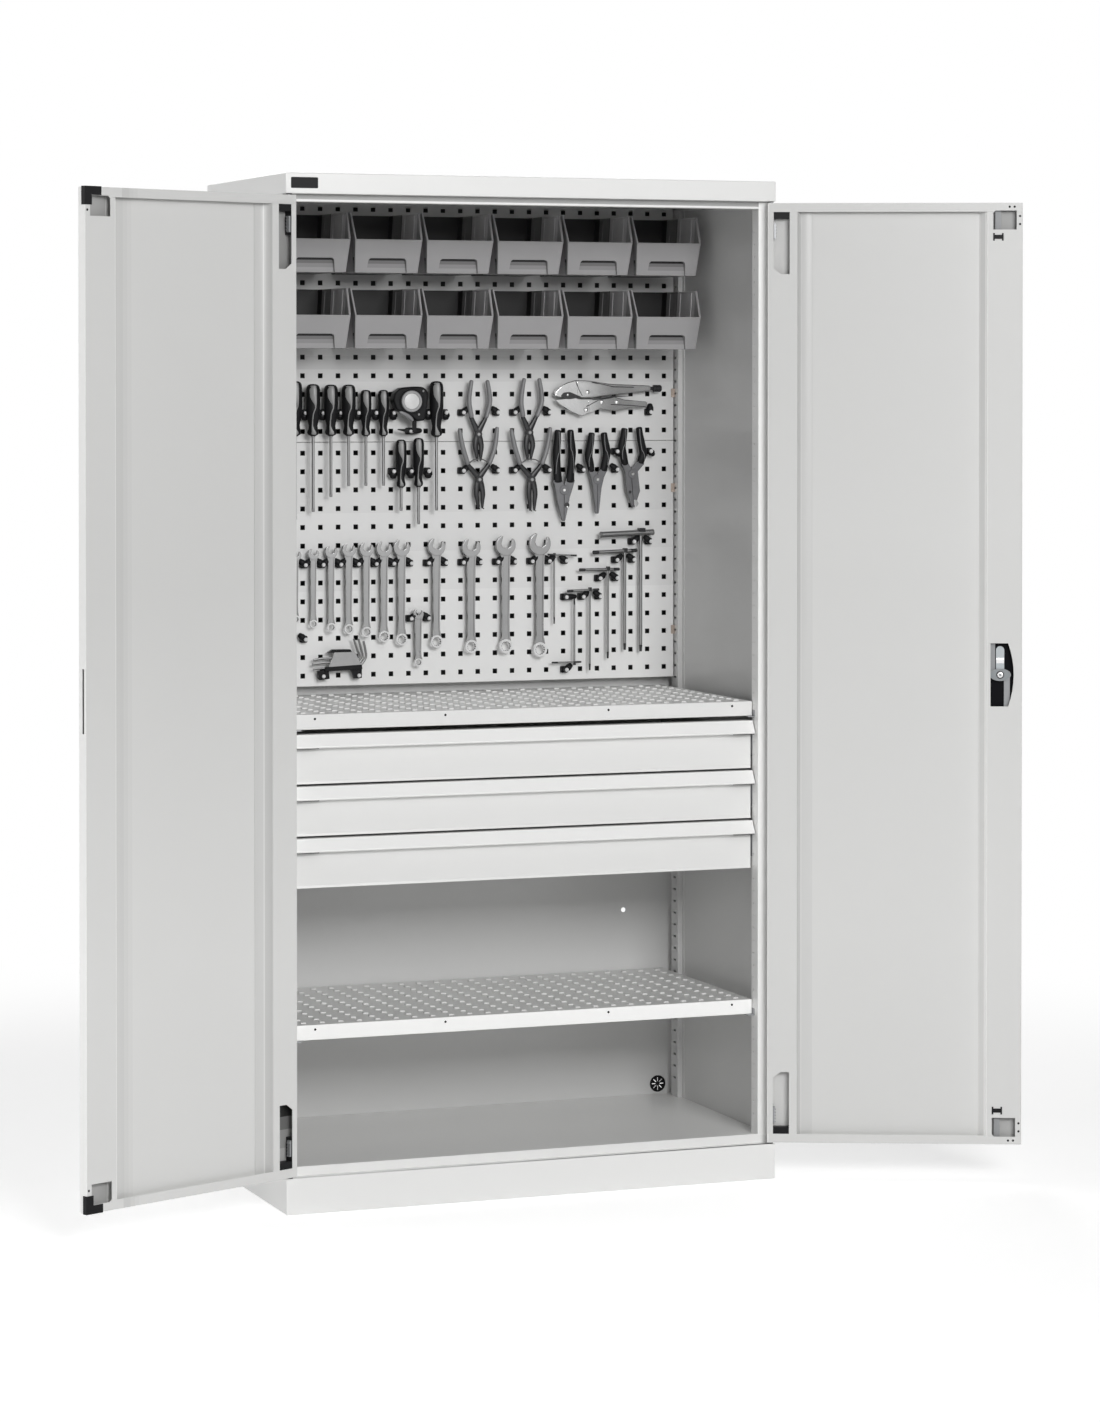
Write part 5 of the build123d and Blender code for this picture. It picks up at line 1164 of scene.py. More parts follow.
@dataclass
class Holders:
    """Holders in the wall's holes: a foot, rubber fingers and a ball-headed screw."""

    rows: tuple[tuple[float, str], ...] = (
        (1535.9, "-323d -285d -247d -209d -171d -133d -57d -19d 19r 95l 133r 209l 437u"),
        (1497.9, "-95s"), (1453.5, "361k 437k"),
        (1415.5, "-133d -95d -57d 19r 95l 133r 209l 285l 361l"),
        (1263.5, "399r 437l"),
        (1225.5, "-323lr -285lr -247lr -209lr -171lr -133lr -95l -57r -19l 19r 57l 95r 133l 171r "
                 "209lr 247l 361r 399l"),
        (1187.5, "323r 361l"), (1149.5, "247s 285r 323l"), (1111.5, "-95r -57l"), (1073.5, "-323l"),
        (997.5, "-285u -209u 247r"),
    )
    plain: Point = (323, 1573.9)
    ball: float = 4.2
    ball_y: float = 206
    moves: dict[str, tuple[float, float, float]] = field(default_factory=lambda: {
        "l": (-13.5, 11, 7), "r": (13.5, 11, 7), "d": (0, -15, 9.5), "u": (0, 18, 7.5),
        "s": (24, 1, 6.5), "k": (9, -9, 7.5)})

    def build(self) -> None:
        """Make the rubber bodies and the bright screws."""
        bodies, screws = fresh(2)
        for z, row in self.rows:
            for word in row.split():
                x = float(word.rstrip("lrdusk"))
                self._holder(bodies, screws, x, z, word.lstrip("-0123456789"))
        x, z = self.plain
        self._foot(bodies, x, z)
        sweep(bodies, [(x, 217, z - 4, 7, 5), (x, 217, z + 6, 7, 5)], 12)
        # ball screws in the near-white non-metal: painted reflection of their chrome
        hang("tool_holders", 0, ("holder_bodies", bodies, BLACK), ("holder_screws", screws, BALL_PAINTED_REFLECTION))

    def _foot(self, bm: Mesh, x: float, z: float) -> None:
        """Add the foot on the wall and the plug in the hole.

        Args:
            bm: Mesh to add to.
            x: Hole's place across the wall.
            z: Hole's height.
        """
        foot = [(x - 7.5, z - 7), (x + 7.5, z - 7), (x + 7.5, z + 7), (x - 7.5, z + 7)]
        slab(bm, foot, (219, WALL_Y - 0.05), 2.5, 1, 2)
        block(bm, (x - 4.2, x + 4.2), (WALL_Y - 0.5, WALL_Y + 6), (z - 4.2, z + 4.2))

    def _holder(self, bm: Mesh, screws: Mesh, x: float, z: float, code: str) -> None:
        """Add one holder.

        Args:
            bm: Mesh of the rubber bodies.
            screws: Mesh of the bright screws.
            x: Hole's place across the wall.
            z: Hole's height.
            code: One letter for each finger.
        """
        self._foot(bm, x, z)
        for letter in code:
            dx, dz, half = self.moves[letter]
            sweep(bm, [(x - dx * 0.1, 213.5, z - dz * 0.1, half, 7.5), (x + dx * 0.5, 213, z + dz * 0.5, half, 7.8),
                       (x + dx, 214.5, z + dz, half * 0.82, 6.5)], 12, 0.9)
        bar(bm, (x, 216, z), (x, self.ball_y + 1, z), 5.6, 4.6, 12, 0.8)
        ball(screws, (x, self.ball_y, z), self.ball)
        lathe(screws, [(0, 0), (1.3, 0), (1.3, 1), (0, 1.4)],
              (x, self.ball_y - self.ball + 0.3, z), FRONT, 8)


@dataclass
class Screwdrivers:
    """Screwdrivers with a waisted black handle and a grey inlay."""

    rows: tuple[Row, ...] = (
        (-342, 1601, 1489, 1318, 14.5), (-304, 1595, 1489, 1334, 14.5), (-266, 1594, 1489, 1364, 14.5),
        (-228, 1594, 1489, 1386, 14.5), (-190, 1583, 1488, 1386, 11.5), (-152, 1583, 1488, 1386, 11.5),
        (-38, 1601, 1486, 1334, 14.5), (-114, 1481, 1382, 1334, 11.5), (-76, 1484, 1383, 1306, 11.5),)
    handle: tuple[Point, ...] = (
        (0, 0), (0.42, 0.004), (0.72, 0.02), (0.9, 0.055), (0.98, 0.11), (1, 0.2), (1, 0.42),
        (0.97, 0.55), (0.86, 0.66), (0.72, 0.74), (0.64, 0.8), (0.68, 0.86), (0.8, 0.905), (0.82, 0.94),
        (0.7, 0.975), (0.46, 0.99), (0.4, 1), (0, 1))
    inlay: tuple[tuple[float, float, float], ...] = (
        (0.03, 0.05, 0.45), (0.12, 0.07, 0.53), (0.24, 0.1, 0.5), (0.33, 0.25, 0.36), (0.4, 0.42, 0.14),
        (0.46, 0.42, 0.09), (0.52, 0.25, 0.08), (0.58, 0.1, 0.08), (0.7, 0, 0.08), (0.81, -0.05, 0.1),
        (0.88, 0.05, 0.2), (0.93, 0.15, 0.35), (0.97, 0.15, 0.35))
    inlay_turn: float = -21
    shaft: float = 3

    def build(self) -> None:
        """Make handles, inlays and blades."""
        handles, inlays, blades = fresh(3)
        for x, top, foot, tip, radius in self.rows:
            axis_y = TOOL_Y - radius
            long = top - foot
            lathe(handles, [(r * radius, -share * long) for r, share in self.handle], (x, axis_y, top), steps=22)
            self._inlay(inlays, x, axis_y, top, long, radius)
            free, thick = tip - foot, self.shaft
            lathe(blades, [(0, 4), (4.4, 4), (4.4, -1.2), (thick, -2.5), (thick, free + 9),
                           (thick * 0.9, free + 6), (0, free + 5)], (x, axis_y, foot), steps=14)
            sweep(blades, [(x, axis_y, tip + 9, thick, thick * 0.9), (x, axis_y, tip + 4, thick * 1.15, thick * 0.5),
                           (x, axis_y, tip, thick, 0.6)], 10, 0.3)
        hang("screwdrivers", -5.5, ("screwdriver_handles", handles, BLACK),
             ("screwdriver_inlays", inlays, LENS_GREY), ("screwdriver_blades", blades, SATIN))

    def _radius(self, share: float) -> float:
        """Handle's radius at a share of its length, as a part of its greatest radius."""
        for (r0, s0), (r1, s1) in zip(self.handle, self.handle[1:]):
            if s0 <= share <= s1 and s1 > s0:
                return r0 + (r1 - r0) * (share - s0) / (s1 - s0)
        return 0.4

    def _inlay(self, bm: Mesh, x: float, y: float, top: float, long: float, radius: float) -> None:
        """Add the raised grey inlay that winds down the handle's front.

        Args:
            bm: Mesh to add to.
            x: Handle's axis across the wall.
            y: Handle's axis in depth.
            top: Height of the handle's top.
            long: Length of the handle.
            radius: Greatest radius of the handle.
        """
        stations = []
        for share, shift, wide in self.inlay:
            here = self._radius(share) * radius
            dx, half = shift * radius, min(wide * radius, here * 0.85)
            front = math.sqrt(max(here * here - dx * dx, 1))
            sag = here - math.sqrt(max(here * here - half * half, 0.5)) + 0.7
            stations.append((x + dx, y - front - 1 + sag, top - share * long, half, sag))
        one = bmesh.new()
        sweep(one, stations, 12, 0.5)
        bmesh.ops.rotate(one, verts=one.verts, cent=(x * MM, y * MM, 0),
                         matrix=Matrix.Rotation(math.radians(self.inlay_turn), 3, "Z"))
        add(bm, one)


@dataclass
class TapeMeasure:
    """Tape measure with a bare disc, standing on its own hook."""

    outline: tuple[Point, ...] = (
        (-135, 1561), (-131, 1577), (-119, 1587), (-98, 1589), (-84, 1590), (-70, 1589), (-61, 1583), (-59, 1568),
        (-61, 1545), (-66, 1520), (-83, 1518), (-93, 1527), (-110, 1536), (-127, 1541))
    disc: tuple[float, ...] = (-95.5, 1559.5, 22)
    hook: tuple[Point, ...] = (
        (-89.5, 1520), (-82.5, 1520), (-82.5, 1495.5), (-101, 1495.5), (-121, 1500.5), (-121, 1502.8),
        (-89.5, 1502.8))
    depth: float = 30

    def build(self) -> None:
        """Make the case, the disc and the mouth."""
        case, disc, mouth, face = fresh(4)
        front = TOOL_Y - self.depth
        slab(case, list(self.outline), (front + 1.5, TOOL_Y), 4, 4.5, 3)
        x, z, radius = self.disc
        lathe(case, [(0, 0), (radius + 4.5, 0), (radius + 4.5, 3.2), (radius + 3, 4.4), (radius + 1, 4.4),
                     (radius + 1, 2), (0, 2)], (x, front + 3.5, z), FRONT, 36)
        slab(case, list(self.hook), (192, 201.5), 0.8, 0.8, 2)
        lathe(disc, [(radius - 6, 3), (radius - 6, 0), (radius, 0), (radius, 3.3), (radius - 1.2, 4.4),
                     (radius - 4.5, 4.4), (radius - 6, 3)], (x, front + 3.2, z), FRONT, 36)
        lathe(face, [(0, 0.5), (radius - 5.8, 0.5), (radius - 5.8, 3), (radius - 8, 3.9), (0, 4.3)],
              (x, front + 3.2, z), FRONT, 36)
        ball(face, (-96, 190, 1498), 3.4)
        for sx, sz in ((-70.5, 1580.5), (-80, 1532.5)):
            lathe(disc, [(0, 0), (2.1, 0), (2.1, 1.6), (1.4, 2.2), (0, 2.2)], (sx, front + 2, sz),
                  FRONT, 12)
        sweep(mouth, curve([(-121, 190, 1538, 3.4, 3), (-110, 189, 1534, 4.6, 3.6), (-99, 189, 1526.5, 4.6, 3.6),
                            (-91, 190, 1519.5, 3, 3)], 3), 12, 0.8)
        # the disc face's pale grey non-metal is painted reflection of its bare metal
        hang("tape_measure", -6.5, ("tape_case", case, BLACK), ("tape_disc", disc, DISC_GREY),
             ("tape_mouth", mouth, GRIP_GREY),
             ("tape_disc_face", face, replace(BALL_PAINTED_REFLECTION, name="tape_disc_silver", colour=(0.62, 0.62, 0.62))))


@dataclass
class CirclipPliers:
    """Four circlip pliers, tips down."""

    rows: tuple[tuple[Point, ...], ...] = (
        ((39, 1603), (73, 1603), (33, 1561), (79, 1561), (39, 1525), (70, 1524), (54, 1493), (45, 1468), (64, 1468),
        (52, 1436), (59, 1436)), ((155, 1607), (188, 1607), (148, 1561), (194, 1561), (153, 1526), (182, 1526),
        (167, 1496), (157, 1470), (178, 1470), (163, 1437), (170, 1437)), ((12, 1502), (95, 1506), (19, 1465),
        (90, 1465), (31, 1428), (77, 1428), (56, 1399), (47, 1371), (67, 1371), (54, 1337), (63, 1337)),
        ((126, 1501), (213, 1505), (134, 1464), (206, 1464), (146, 1427), (194, 1427), (172, 1398), (163, 1370),
        (183, 1370), (169, 1331), (178, 1331)),)
    sprung: tuple[int, ...] = (2, 3)
    grip_y: float = 207.5
    lever_y: float = 209.8
    tip_y: float = 209.5

    def build(self) -> None:
        """Make grips, levers, springs and rivets."""
        grips, levers, bright = fresh(3)
        for index, row in enumerate(self.rows):
            top_l, top_r, bend_l, bend_r, end_l, end_r, cross, head_l, head_r, tip_l, tip_r = row
            head_l, head_r = between(head_l, head_r, 0.16), between(head_r, head_l, 0.16)
            for top, bend, end, head, tip in ((top_l, bend_l, end_l, head_r, tip_r),
                                              (top_r, bend_r, end_r, head_l, tip_l)):
                sweep(grips, curve(level_with(self.grip_y, (top, 4.2, 4.6), (bend, 5.2, 5.5), (end, 5, 5.5)), 5), 12)
                sweep(levers, curve(level_with(
                    self.lever_y, (between(bend, end, 0.7), 3.8, 3.8), (end, 4.6, 3.6), (cross, 6.5, 3.4),
                    (head, 5.6, 3.6), (between(head, tip, 0.5), 4.4, 3.4), (tip, 2.2, 2.2)), 4), 12)
            across, out = (4, 0) if index in self.sprung else (0, 3)
            for x, z in (tip_l, tip_r):
                bar(levers, (x, self.tip_y, z + 1.5), (x + across, self.tip_y - out, z - 1), 1.3, 0.9, 8, 0.3)
            x, z = cross
            lathe(levers, [(0, 0), (8, 0), (8, 7.6), (7, 8.6), (0, 8.6)], (x, TOOL_Y, z - 2), FRONT, 24)
            lathe(bright, [(0, 0), (3.6, 0), (3.6, 9.4), (2.8, 10), (0, 10)], (x, TOOL_Y, z - 2), FRONT, 16)
            if index in self.sprung:
                a, b = between(bend_l, end_l, 0.95), between(bend_r, end_r, 0.95)
                x, z = (a[0] + b[0]) / 2, a[1] + 11
                sweep(bright, curve(level_with(
                    self.grip_y, ((a[0] + 2, a[1]), 1.3, 2.2), ((x - 10, z - 2.5), 1.3, 2.2),
                    ((x + 10, z - 2.5), 1.3, 2.2), ((b[0] - 2, b[1]), 1.3, 2.2)), 5), 8)
        hang("circlip_pliers", -2.5, ("circlip_grips", grips, GRIP_GREY), ("circlip_levers", levers, BLACK_STEEL),
             ("circlip_rivets", bright, SATIN))


@dataclass
class Pliers:
    """Three pliers with dipped black grips and satin heads."""

    rows: tuple[tuple[Point, ...], ...] = (
        ((230, 1495), (258, 1495), (219, 1447), (270, 1452), (220, 1386), (241, 1391), (246, 1391), (267, 1386),
        (224, 1378), (263, 1379), (229, 1349), (256, 1358), (243, 1308)), ((306, 1489), (333, 1489), (291, 1446),
        (348, 1452), (300, 1409), (312, 1412), (324, 1414), (340, 1410), (304, 1400), (333, 1400), (309, 1377),
        (327, 1377), (318, 1323)), ((380, 1498), (412, 1500), (366, 1463), (430, 1451), (374, 1421), (389, 1427),
        (408, 1431), (423, 1424), (381, 1411), (409, 1411), (385, 1371), (414, 1370), (400, 1336)),)
    line: tuple[Point, ...] = (
        (0.06, 0.1), (0.25, 0.35), (0.42, 0.5), (0.52, 0.2), (0.6, -0.3), (0.72, -0.55), (0.8, -0.6))
    grip_depth: float = 14
    head_depth: float = 10

    def build(self) -> None:
        """Make grips, inlays, heads and rivets."""
        grips, lines, heads, bright, hollows = fresh(5)
        for row in self.rows:
            top_l, top_r, wide_l, wide_r, out_l, in_l, in_r, out_r, *_ = row
            for top, wide, outer, inner, side in ((top_l, wide_l, out_l, in_l, -1), (top_r, wide_r, out_r, in_r, 1)):
                self._grip(grips, lines, top, wide, outer, inner, side)
            self._head(heads, bright, row)
        front = TOOL_Y - self.head_depth
        lathe(hollows, [(0, 0), (5.6, 0), (5.2, 0.5), (0, 0.5)], (249.5, front, 1342), FRONT, 20)
        ball(bright, (249.5, front - 0.6, 1338.5), 2.6, 12)
        lathe(hollows, [(0, 0), (3.4, 0), (3, 0.5), (0, 0.5)], (391.5, front, 1368), FRONT, 14)
        slab(bright, [(400, 1352), (408, 1350), (411, 1343), (405, 1335.5), (400.5, 1341)], (front - 0.7, front + 1),
             1.2, 0.3, 2)
        hang("pliers", -3, ("plier_grips", grips, BLACK), ("plier_grip_lines", lines, GRIP_GREY),
             ("plier_heads", heads, FORGED), ("plier_rivets", bright, BRIGHT),
             ("plier_hollows", hollows, BLACK_STEEL))

    def _grip(self, bm: Mesh, lines: Mesh, top: Point, wide: Point, outer: Point,
              inner: Point, side: int) -> None:
        """Add one grip and its grey line.

        Args:
            bm: Mesh of the grips.
            lines: Mesh of the grey lines.
            top: Top of the grip.
            wide: Widest point on the outside.
            outer: Foot's outer corner.
            inner: Foot's inner corner.
            side: -1 for the left grip and 1 for the right.
        """
        foot = between(outer, inner, 0.5)
        middle = (wide[0] - side * 8, wide[1])
        foot_half = abs(outer[0] - inner[0]) / 2
        y = TOOL_Y - self.grip_depth / 2
        path = curve(level_with(
            y, ((top[0], top[1] + 4.5), 6.8, 6.4), (between(top, middle, 0.35), 7.6, 7), (middle, 8.4, 7),
            (between(middle, foot, 0.55), 8, 6.6), (foot, foot_half, 5.8)), 4)
        sweep(bm, path, 14, 0.7)
        ribbon = []
        for share, shift in self.line:
            x, py, z, half, deep = path[round(share * (len(path) - 1))]
            dx = -side * shift * half
            front = deep * math.sqrt(max(1 - (dx / half) ** 2, 0.05))
            ribbon.append((x + dx, py - front + 0.3, z, 0.75, 0.6))
        sweep(lines, curve(ribbon, 3), 8, 0.5)

    def _head(self, bm: Mesh, bright: Mesh, row: tuple[Point, ...]) -> None:
        """Add both jaws, the joint's disc and the rivet.

        Args:
            bm: Mesh of the heads.
            bright: Mesh of the bright parts.
            row: The pliers' points.
        """
        _, _, wide_l, wide_r, out_l, in_l, in_r, out_r, shoulder_l, shoulder_r, jaw_l, jaw_r, tip = row
        seam = ((shoulder_l[0] + shoulder_r[0]) / 2, (shoulder_l[1] + shoulder_r[1]) / 2)
        y = (TOOL_Y - self.head_depth, TOOL_Y - 1)
        for out, inn, wide, shoulder, jaw, side in ((out_l, in_l, wide_l, shoulder_l, jaw_l, -1),
                                                    (out_r, in_r, wide_r, shoulder_r, jaw_r, 1)):
            gap = side * 0.45
            outline = [between(out, wide, 0.12), shoulder, jaw, (tip[0] + side * 3.2, tip[1] + 3),
                       (tip[0] + side * 1.4, tip[1]), (tip[0] + gap, tip[1] + 1), (seam[0] + gap, seam[1] - 14),
                       (seam[0] + gap, seam[1] + 6), between(inn, wide, 0.15)]
            slab(bm, outline, y, 1.2, 1.6, 2)
        middle = ((seam[0] + tip[0]) / 2, seam[1] * 0.72 + jaw_l[1] * 0.28)
        lathe(bm, [(0, 0), (10.5, 0), (10.5, 9.6), (9.4, 10.7), (0, 10.7)], (middle[0], TOOL_Y, seam[1] - 5),
              FRONT, 28)
        lathe(bright, [(0, 0), (3.4, 0), (3.4, 11.2), (2.6, 12), (0, 12)], (middle[0], TOOL_Y, seam[1] - 5),
              FRONT, 16)


@dataclass
class LockingPliers:
    """Locking pliers with riveted sheet levers and an adjusting screw."""

    body: tuple[Point, ...] = (
        (220, 1570), (224, 1581), (234, 1590), (250, 1598), (269, 1603), (300, 1601.5), (347, 1595), (437, 1591.5),
        (437, 1580.5), (353, 1572), (306, 1566), (276, 1566), (262, 1571), (240, 1566))
    jaw: tuple[Point, ...] = (
        (222, 1562), (240, 1563), (262, 1568), (276, 1563), (306, 1563), (308, 1549), (300, 1536), (283, 1528),
        (258, 1538), (236, 1551))
    lever: tuple[Point, ...] = (
        (306, 1563), (353, 1569), (378, 1562), (428, 1558), (430, 1552), (428, 1546), (392, 1545), (360, 1538),
        (325, 1543), (308, 1549))
    rivets: tuple[Point, ...] = ((294, 1578), (326, 1557), (360, 1557), (291, 1541))
    screw: tuple[float, float, float] = (1585.5, 437, 462)
    depth: float = 11

    def build(self) -> None:
        """Make plates, rivets and the screw."""
        plates, rivets, screw = fresh(3)
        front = TOOL_Y - self.depth
        for outline, y, corner in ((self.body, (front, TOOL_Y), 3), (self.jaw, (front + 0.8, TOOL_Y - 0.8), 3),
                                   (self.lever, (front + 0.4, TOOL_Y - 0.4), 3)):
            slab(plates, list(outline), y, corner, 2.2, 3)
        slab(plates, [(270, 1600), (345, 1593), (352, 1574), (306, 1568), (272, 1570)], (front - 1.2, front + 1),
             3, 0.8, 2)
        slab(plates, [(296, 1560), (340, 1565), (372, 1560), (360, 1546), (326, 1546), (300, 1534)],
             (front - 0.9, front + 1), 3, 0.8, 2)
        for x, z in self.rivets:
            lathe(rivets, [(0, 0), (4.6, 0), (4.2, 1.6), (2.4, 2.8), (0, 3.1)], (x, front - 0.4, z), FRONT, 18)
        ball(rivets, (249, front - 0.6, 1572.6), 3.4)
        slab(screw, [(234, 1570), (238, 1564.5), (254, 1563), (270, 1565.5), (281, 1567.5), (268, 1573),
                     (254, 1578.5), (240, 1577)], (front - 0.7, front + 2), 2.5, 0.3, 2)
        slab(screw, [(306, 1562.5), (334, 1566.5), (352, 1570.5), (395, 1569), (352, 1567.5), (322, 1562)],
             (front - 0.6, front + 2), 1, 0.2, 2)
        for seam in (((292, 1548), (318, 1561), (352, 1567)), ((346, 1552), (392, 1550), (424, 1547)),
                     ((268, 1601), (274, 1584), (282, 1570)), ((303, 1599), (352, 1589), (398, 1588))):
            sweep(screw, level_with(front - 1, *((point, 0.8, 0.7) for point in seam)), 8, 0.4)
        level, start, end = self.screw
        y = TOOL_Y - self.depth / 2
        steps = [(0, 0), (3.6, 0), (3.6, 7), (7.2, 8)]
        for ring in range(5):
            low = 8 + ring * 3.2
            steps += [(7.5, low + 0.5), (7.5, low + 2.2), (6.7, low + 2.7)]
        steps += [(5.8, end - start), (0, end - start)]
        lathe(screw, steps, (start, y, level), (1, 0, 0), 20)
        hang("locking_pliers", -2, ("locking_plates", plates, CHROME), ("locking_rivets", rivets, BRIGHT),
             ("locking_screw", screw, BLACK_STEEL))


@dataclass
class Wrenches:
    """Combination wrenches, open end up and ring down."""

    rows: tuple[Row, ...] = (
        (-342, 1246, 1115, 11.5, 8.5, 11), (-304, 1248, 1105, 11.5, 8.5, 12), (-266, 1252, 1097, 13, 9.5, 13),
        (-228, 1255, 1093, 14, 10.5, 14), (-190, 1256, 1086, 15, 11, 14), (-152, 1256, 1076, 16.5, 12, 15),
        (-114, 1258, 1069, 17.5, 12.5, 16), (-38, 1259, 1063, 18.5, 13.5, 16), (38, 1256, 1051, 20, 14, 18),
        (114, 1260, 1050, 21.5, 15, 18), (190, 1262, 1041, 23.5, 15.5, 18), (-78, 1121, 1021, 11, 8.5, 14),)
    depth: float = 8
    tilt: float = 15
    teeth: int = 12

    def build(self) -> None:
        """Make every wrench."""
        bm, rings, bores = fresh(3)
        for x, head_z, ring_z, head, ring, shank in self.rows:
            self._head(bm, x, head_z, head)
            self._ring(rings, x, ring_z, ring)
            self._shank(bm, x, (ring_z + ring * 0.72, head_z - head * 0.55), shank)
            # dark tube inside each ring's bore: painted shade on the bore's wall
            bore = ring * 0.66
            lathe(bores, [(bore + 0.2, 0.4), (bore - 0.4, 0.4), (bore - 0.4, self.depth - 0.9),
                          (bore + 0.2, self.depth - 0.9), (bore + 0.2, 0.4)], (x, TOOL_Y, ring_z), FRONT, 24)
        # rings in the near-white non-metal: painted reflection of their chrome
        hang("combination_wrenches", -2, ("wrenches", bm, SATIN), ("wrench_rings", rings, BALL_PAINTED_REFLECTION),
             ("wrench_bores", bores, BLACK_STEEL))

    def _head(self, bm: Mesh, x: float, z: float, radius: float) -> None:
        """Add the open jaw, tilted to the right.

        Args:
            bm: Mesh to add to.
            x: Middle across the wall.
            z: Height of the head's middle.
            radius: Radius of the head.
        """
        half = radius * 0.5
        start = math.asin(half / radius) + math.radians(6)
        arc = [(radius * math.sin(a), radius * math.cos(a))
               for a in (start + (math.tau - 2 * start) * step / 28 for step in range(29))]
        mouth = [(-half, radius * 0.78), (-half, 0), (-half * 0.55, -radius * 0.26), (half * 0.55, -radius * 0.26),
                 (half, 0), (half, radius * 0.78)]
        angle = math.radians(self.tilt)
        outline = [(x + px * math.cos(angle) + pz * math.sin(angle),
                    z - px * math.sin(angle) + pz * math.cos(angle)) for px, pz in arc + mouth]
        slab(bm, outline, (TOOL_Y - self.depth, TOOL_Y), 0, min(1.3, radius * 0.09), 2)

    def _ring(self, bm: Mesh, x: float, z: float, radius: float) -> None:
        """Add the ring with its toothed bore.

        Args:
            bm: Mesh to add to.
            x: Middle across the wall.
            z: Height of the ring's middle.
            radius: Outer radius of the ring.
        """
        bore, chamfer, deep = radius * 0.66, min(1.3, radius * 0.1), self.depth
        profile = [(bore, 0), (radius - chamfer, 0), (radius, chamfer), (radius, deep - chamfer),
                   (radius - chamfer, deep), (bore + chamfer, deep), (bore, deep - chamfer)]
        found = turned(bm, profile, self.teeth * 2, closed=True)
        for vert in found:
            reach = math.hypot(vert.co.x, vert.co.y)
            tooth = round(math.atan2(vert.co.y, vert.co.x) / math.pi * self.teeth) % 2
            if reach < (bore + chamfer * 0.5) * MM and tooth:
                vert.co.x, vert.co.y = vert.co.x * 0.9, vert.co.y * 0.9
        turn = Matrix.Translation(Vector((x, TOOL_Y, z)) * MM) @ Matrix.Rotation(math.pi / 2, 4, "X")
        bmesh.ops.transform(bm, verts=found, matrix=turn)

    def _shank(self, bm: Mesh, x: float, z: Point, wide: float) -> None:
        """Add the shank: wider at the head, with a sunk panel.

        Args:
            bm: Mesh to add to.
            x: Middle across the wall.
            z: Lower and upper end.
            wide: Mean width.
        """
        low, high = z
        long = high - low
        ends = ((0, 0.62), (0.08, 0.46), (0.2, 0.43), (0.8, 0.5), (0.92, 0.54), (1, 0.7))
        right = [(x + share * wide, low + t * long) for t, share in ends]
        left = [(x - share * wide, low + t * long) for t, share in reversed(ends)]
        made = slab(bm, right + left, (TOOL_Y - self.depth * 0.82, TOOL_Y - 0.6), 0, 0)
        front = min(faces_of(made), key=lambda face: face.calc_center_median().y)
        bmesh.ops.inset_region(bm, faces=[front], thickness=wide * 0.17 * MM, depth=0, use_even_offset=True)
        bmesh.ops.inset_region(bm, faces=[front], thickness=0.5 * MM, depth=-0.9 * MM, use_even_offset=True)


@dataclass
class HexKeys:
    """Hexagon keys in a folding tray with a plain cover panel."""

    trays: tuple[tuple[tuple[Point, ...], float], ...] = (
        (((-284, 1007.5), (-282, 1016.5), (-204, 1020), (-203, 1010)), 12), (((-277, 1045.5), (-266, 1052),
        (-228, 1051.5), (-224, 1044.5)), 10), (((-298, 1008.5), (-274, 1010), (-272, 992), (-294, 990)), 8),
        (((-227, 1012), (-203, 1012), (-203, 992), (-219, 992)), 8))
    cover: tuple[Point, ...] = ((-275, 1015.5), (-263, 1046), (-218, 1046), (-205, 1018.5))
    keys: tuple[tuple[float, tuple[Point, ...]], ...] = (
        (2.1, ((-220, 1073), (-213, 1052), (-207, 1037), (-214, 1024))), (2.3, ((-210, 1072.5), (-204, 1052),
        (-200.5, 1035), (-209, 1021.5))), (2.5, ((-199, 1067.5), (-195, 1050), (-194, 1034), (-204, 1019))), (2.5,
        ((-307, 1031), (-295, 1033), (-282, 1034), (-262, 1034))), (2.2, ((-309, 1022.5), (-295, 1024), (-282, 1025),
        (-262, 1025))), (2, ((-307, 1013), (-295, 1013.5), (-282, 1014), (-262, 1014))))

    def build(self) -> None:
        """Make the tray's bars and feet, the cover panel and the keys."""
        tray, cover, keys = fresh(3)
        for outline, deep in self.trays:
            slab(tray, list(outline), (TOOL_Y - deep, TOOL_Y), 1.6, 0.9, 2)
        slab(cover, list(self.cover), (TOOL_Y - 11, TOOL_Y - 0.5), 1.5, 0.8, 2)
        for radius, path in self.keys:
            line = curve([(x, TOOL_Y - radius - 3, z, radius, radius) for x, z in path], 5)
            sweep(keys, line, 8, 0.2)
        hang("hex_key_set", 0, ("hex_tray", tray, BLACK), ("hex_cover", cover, SATIN), ("hex_keys", keys, SATIN))


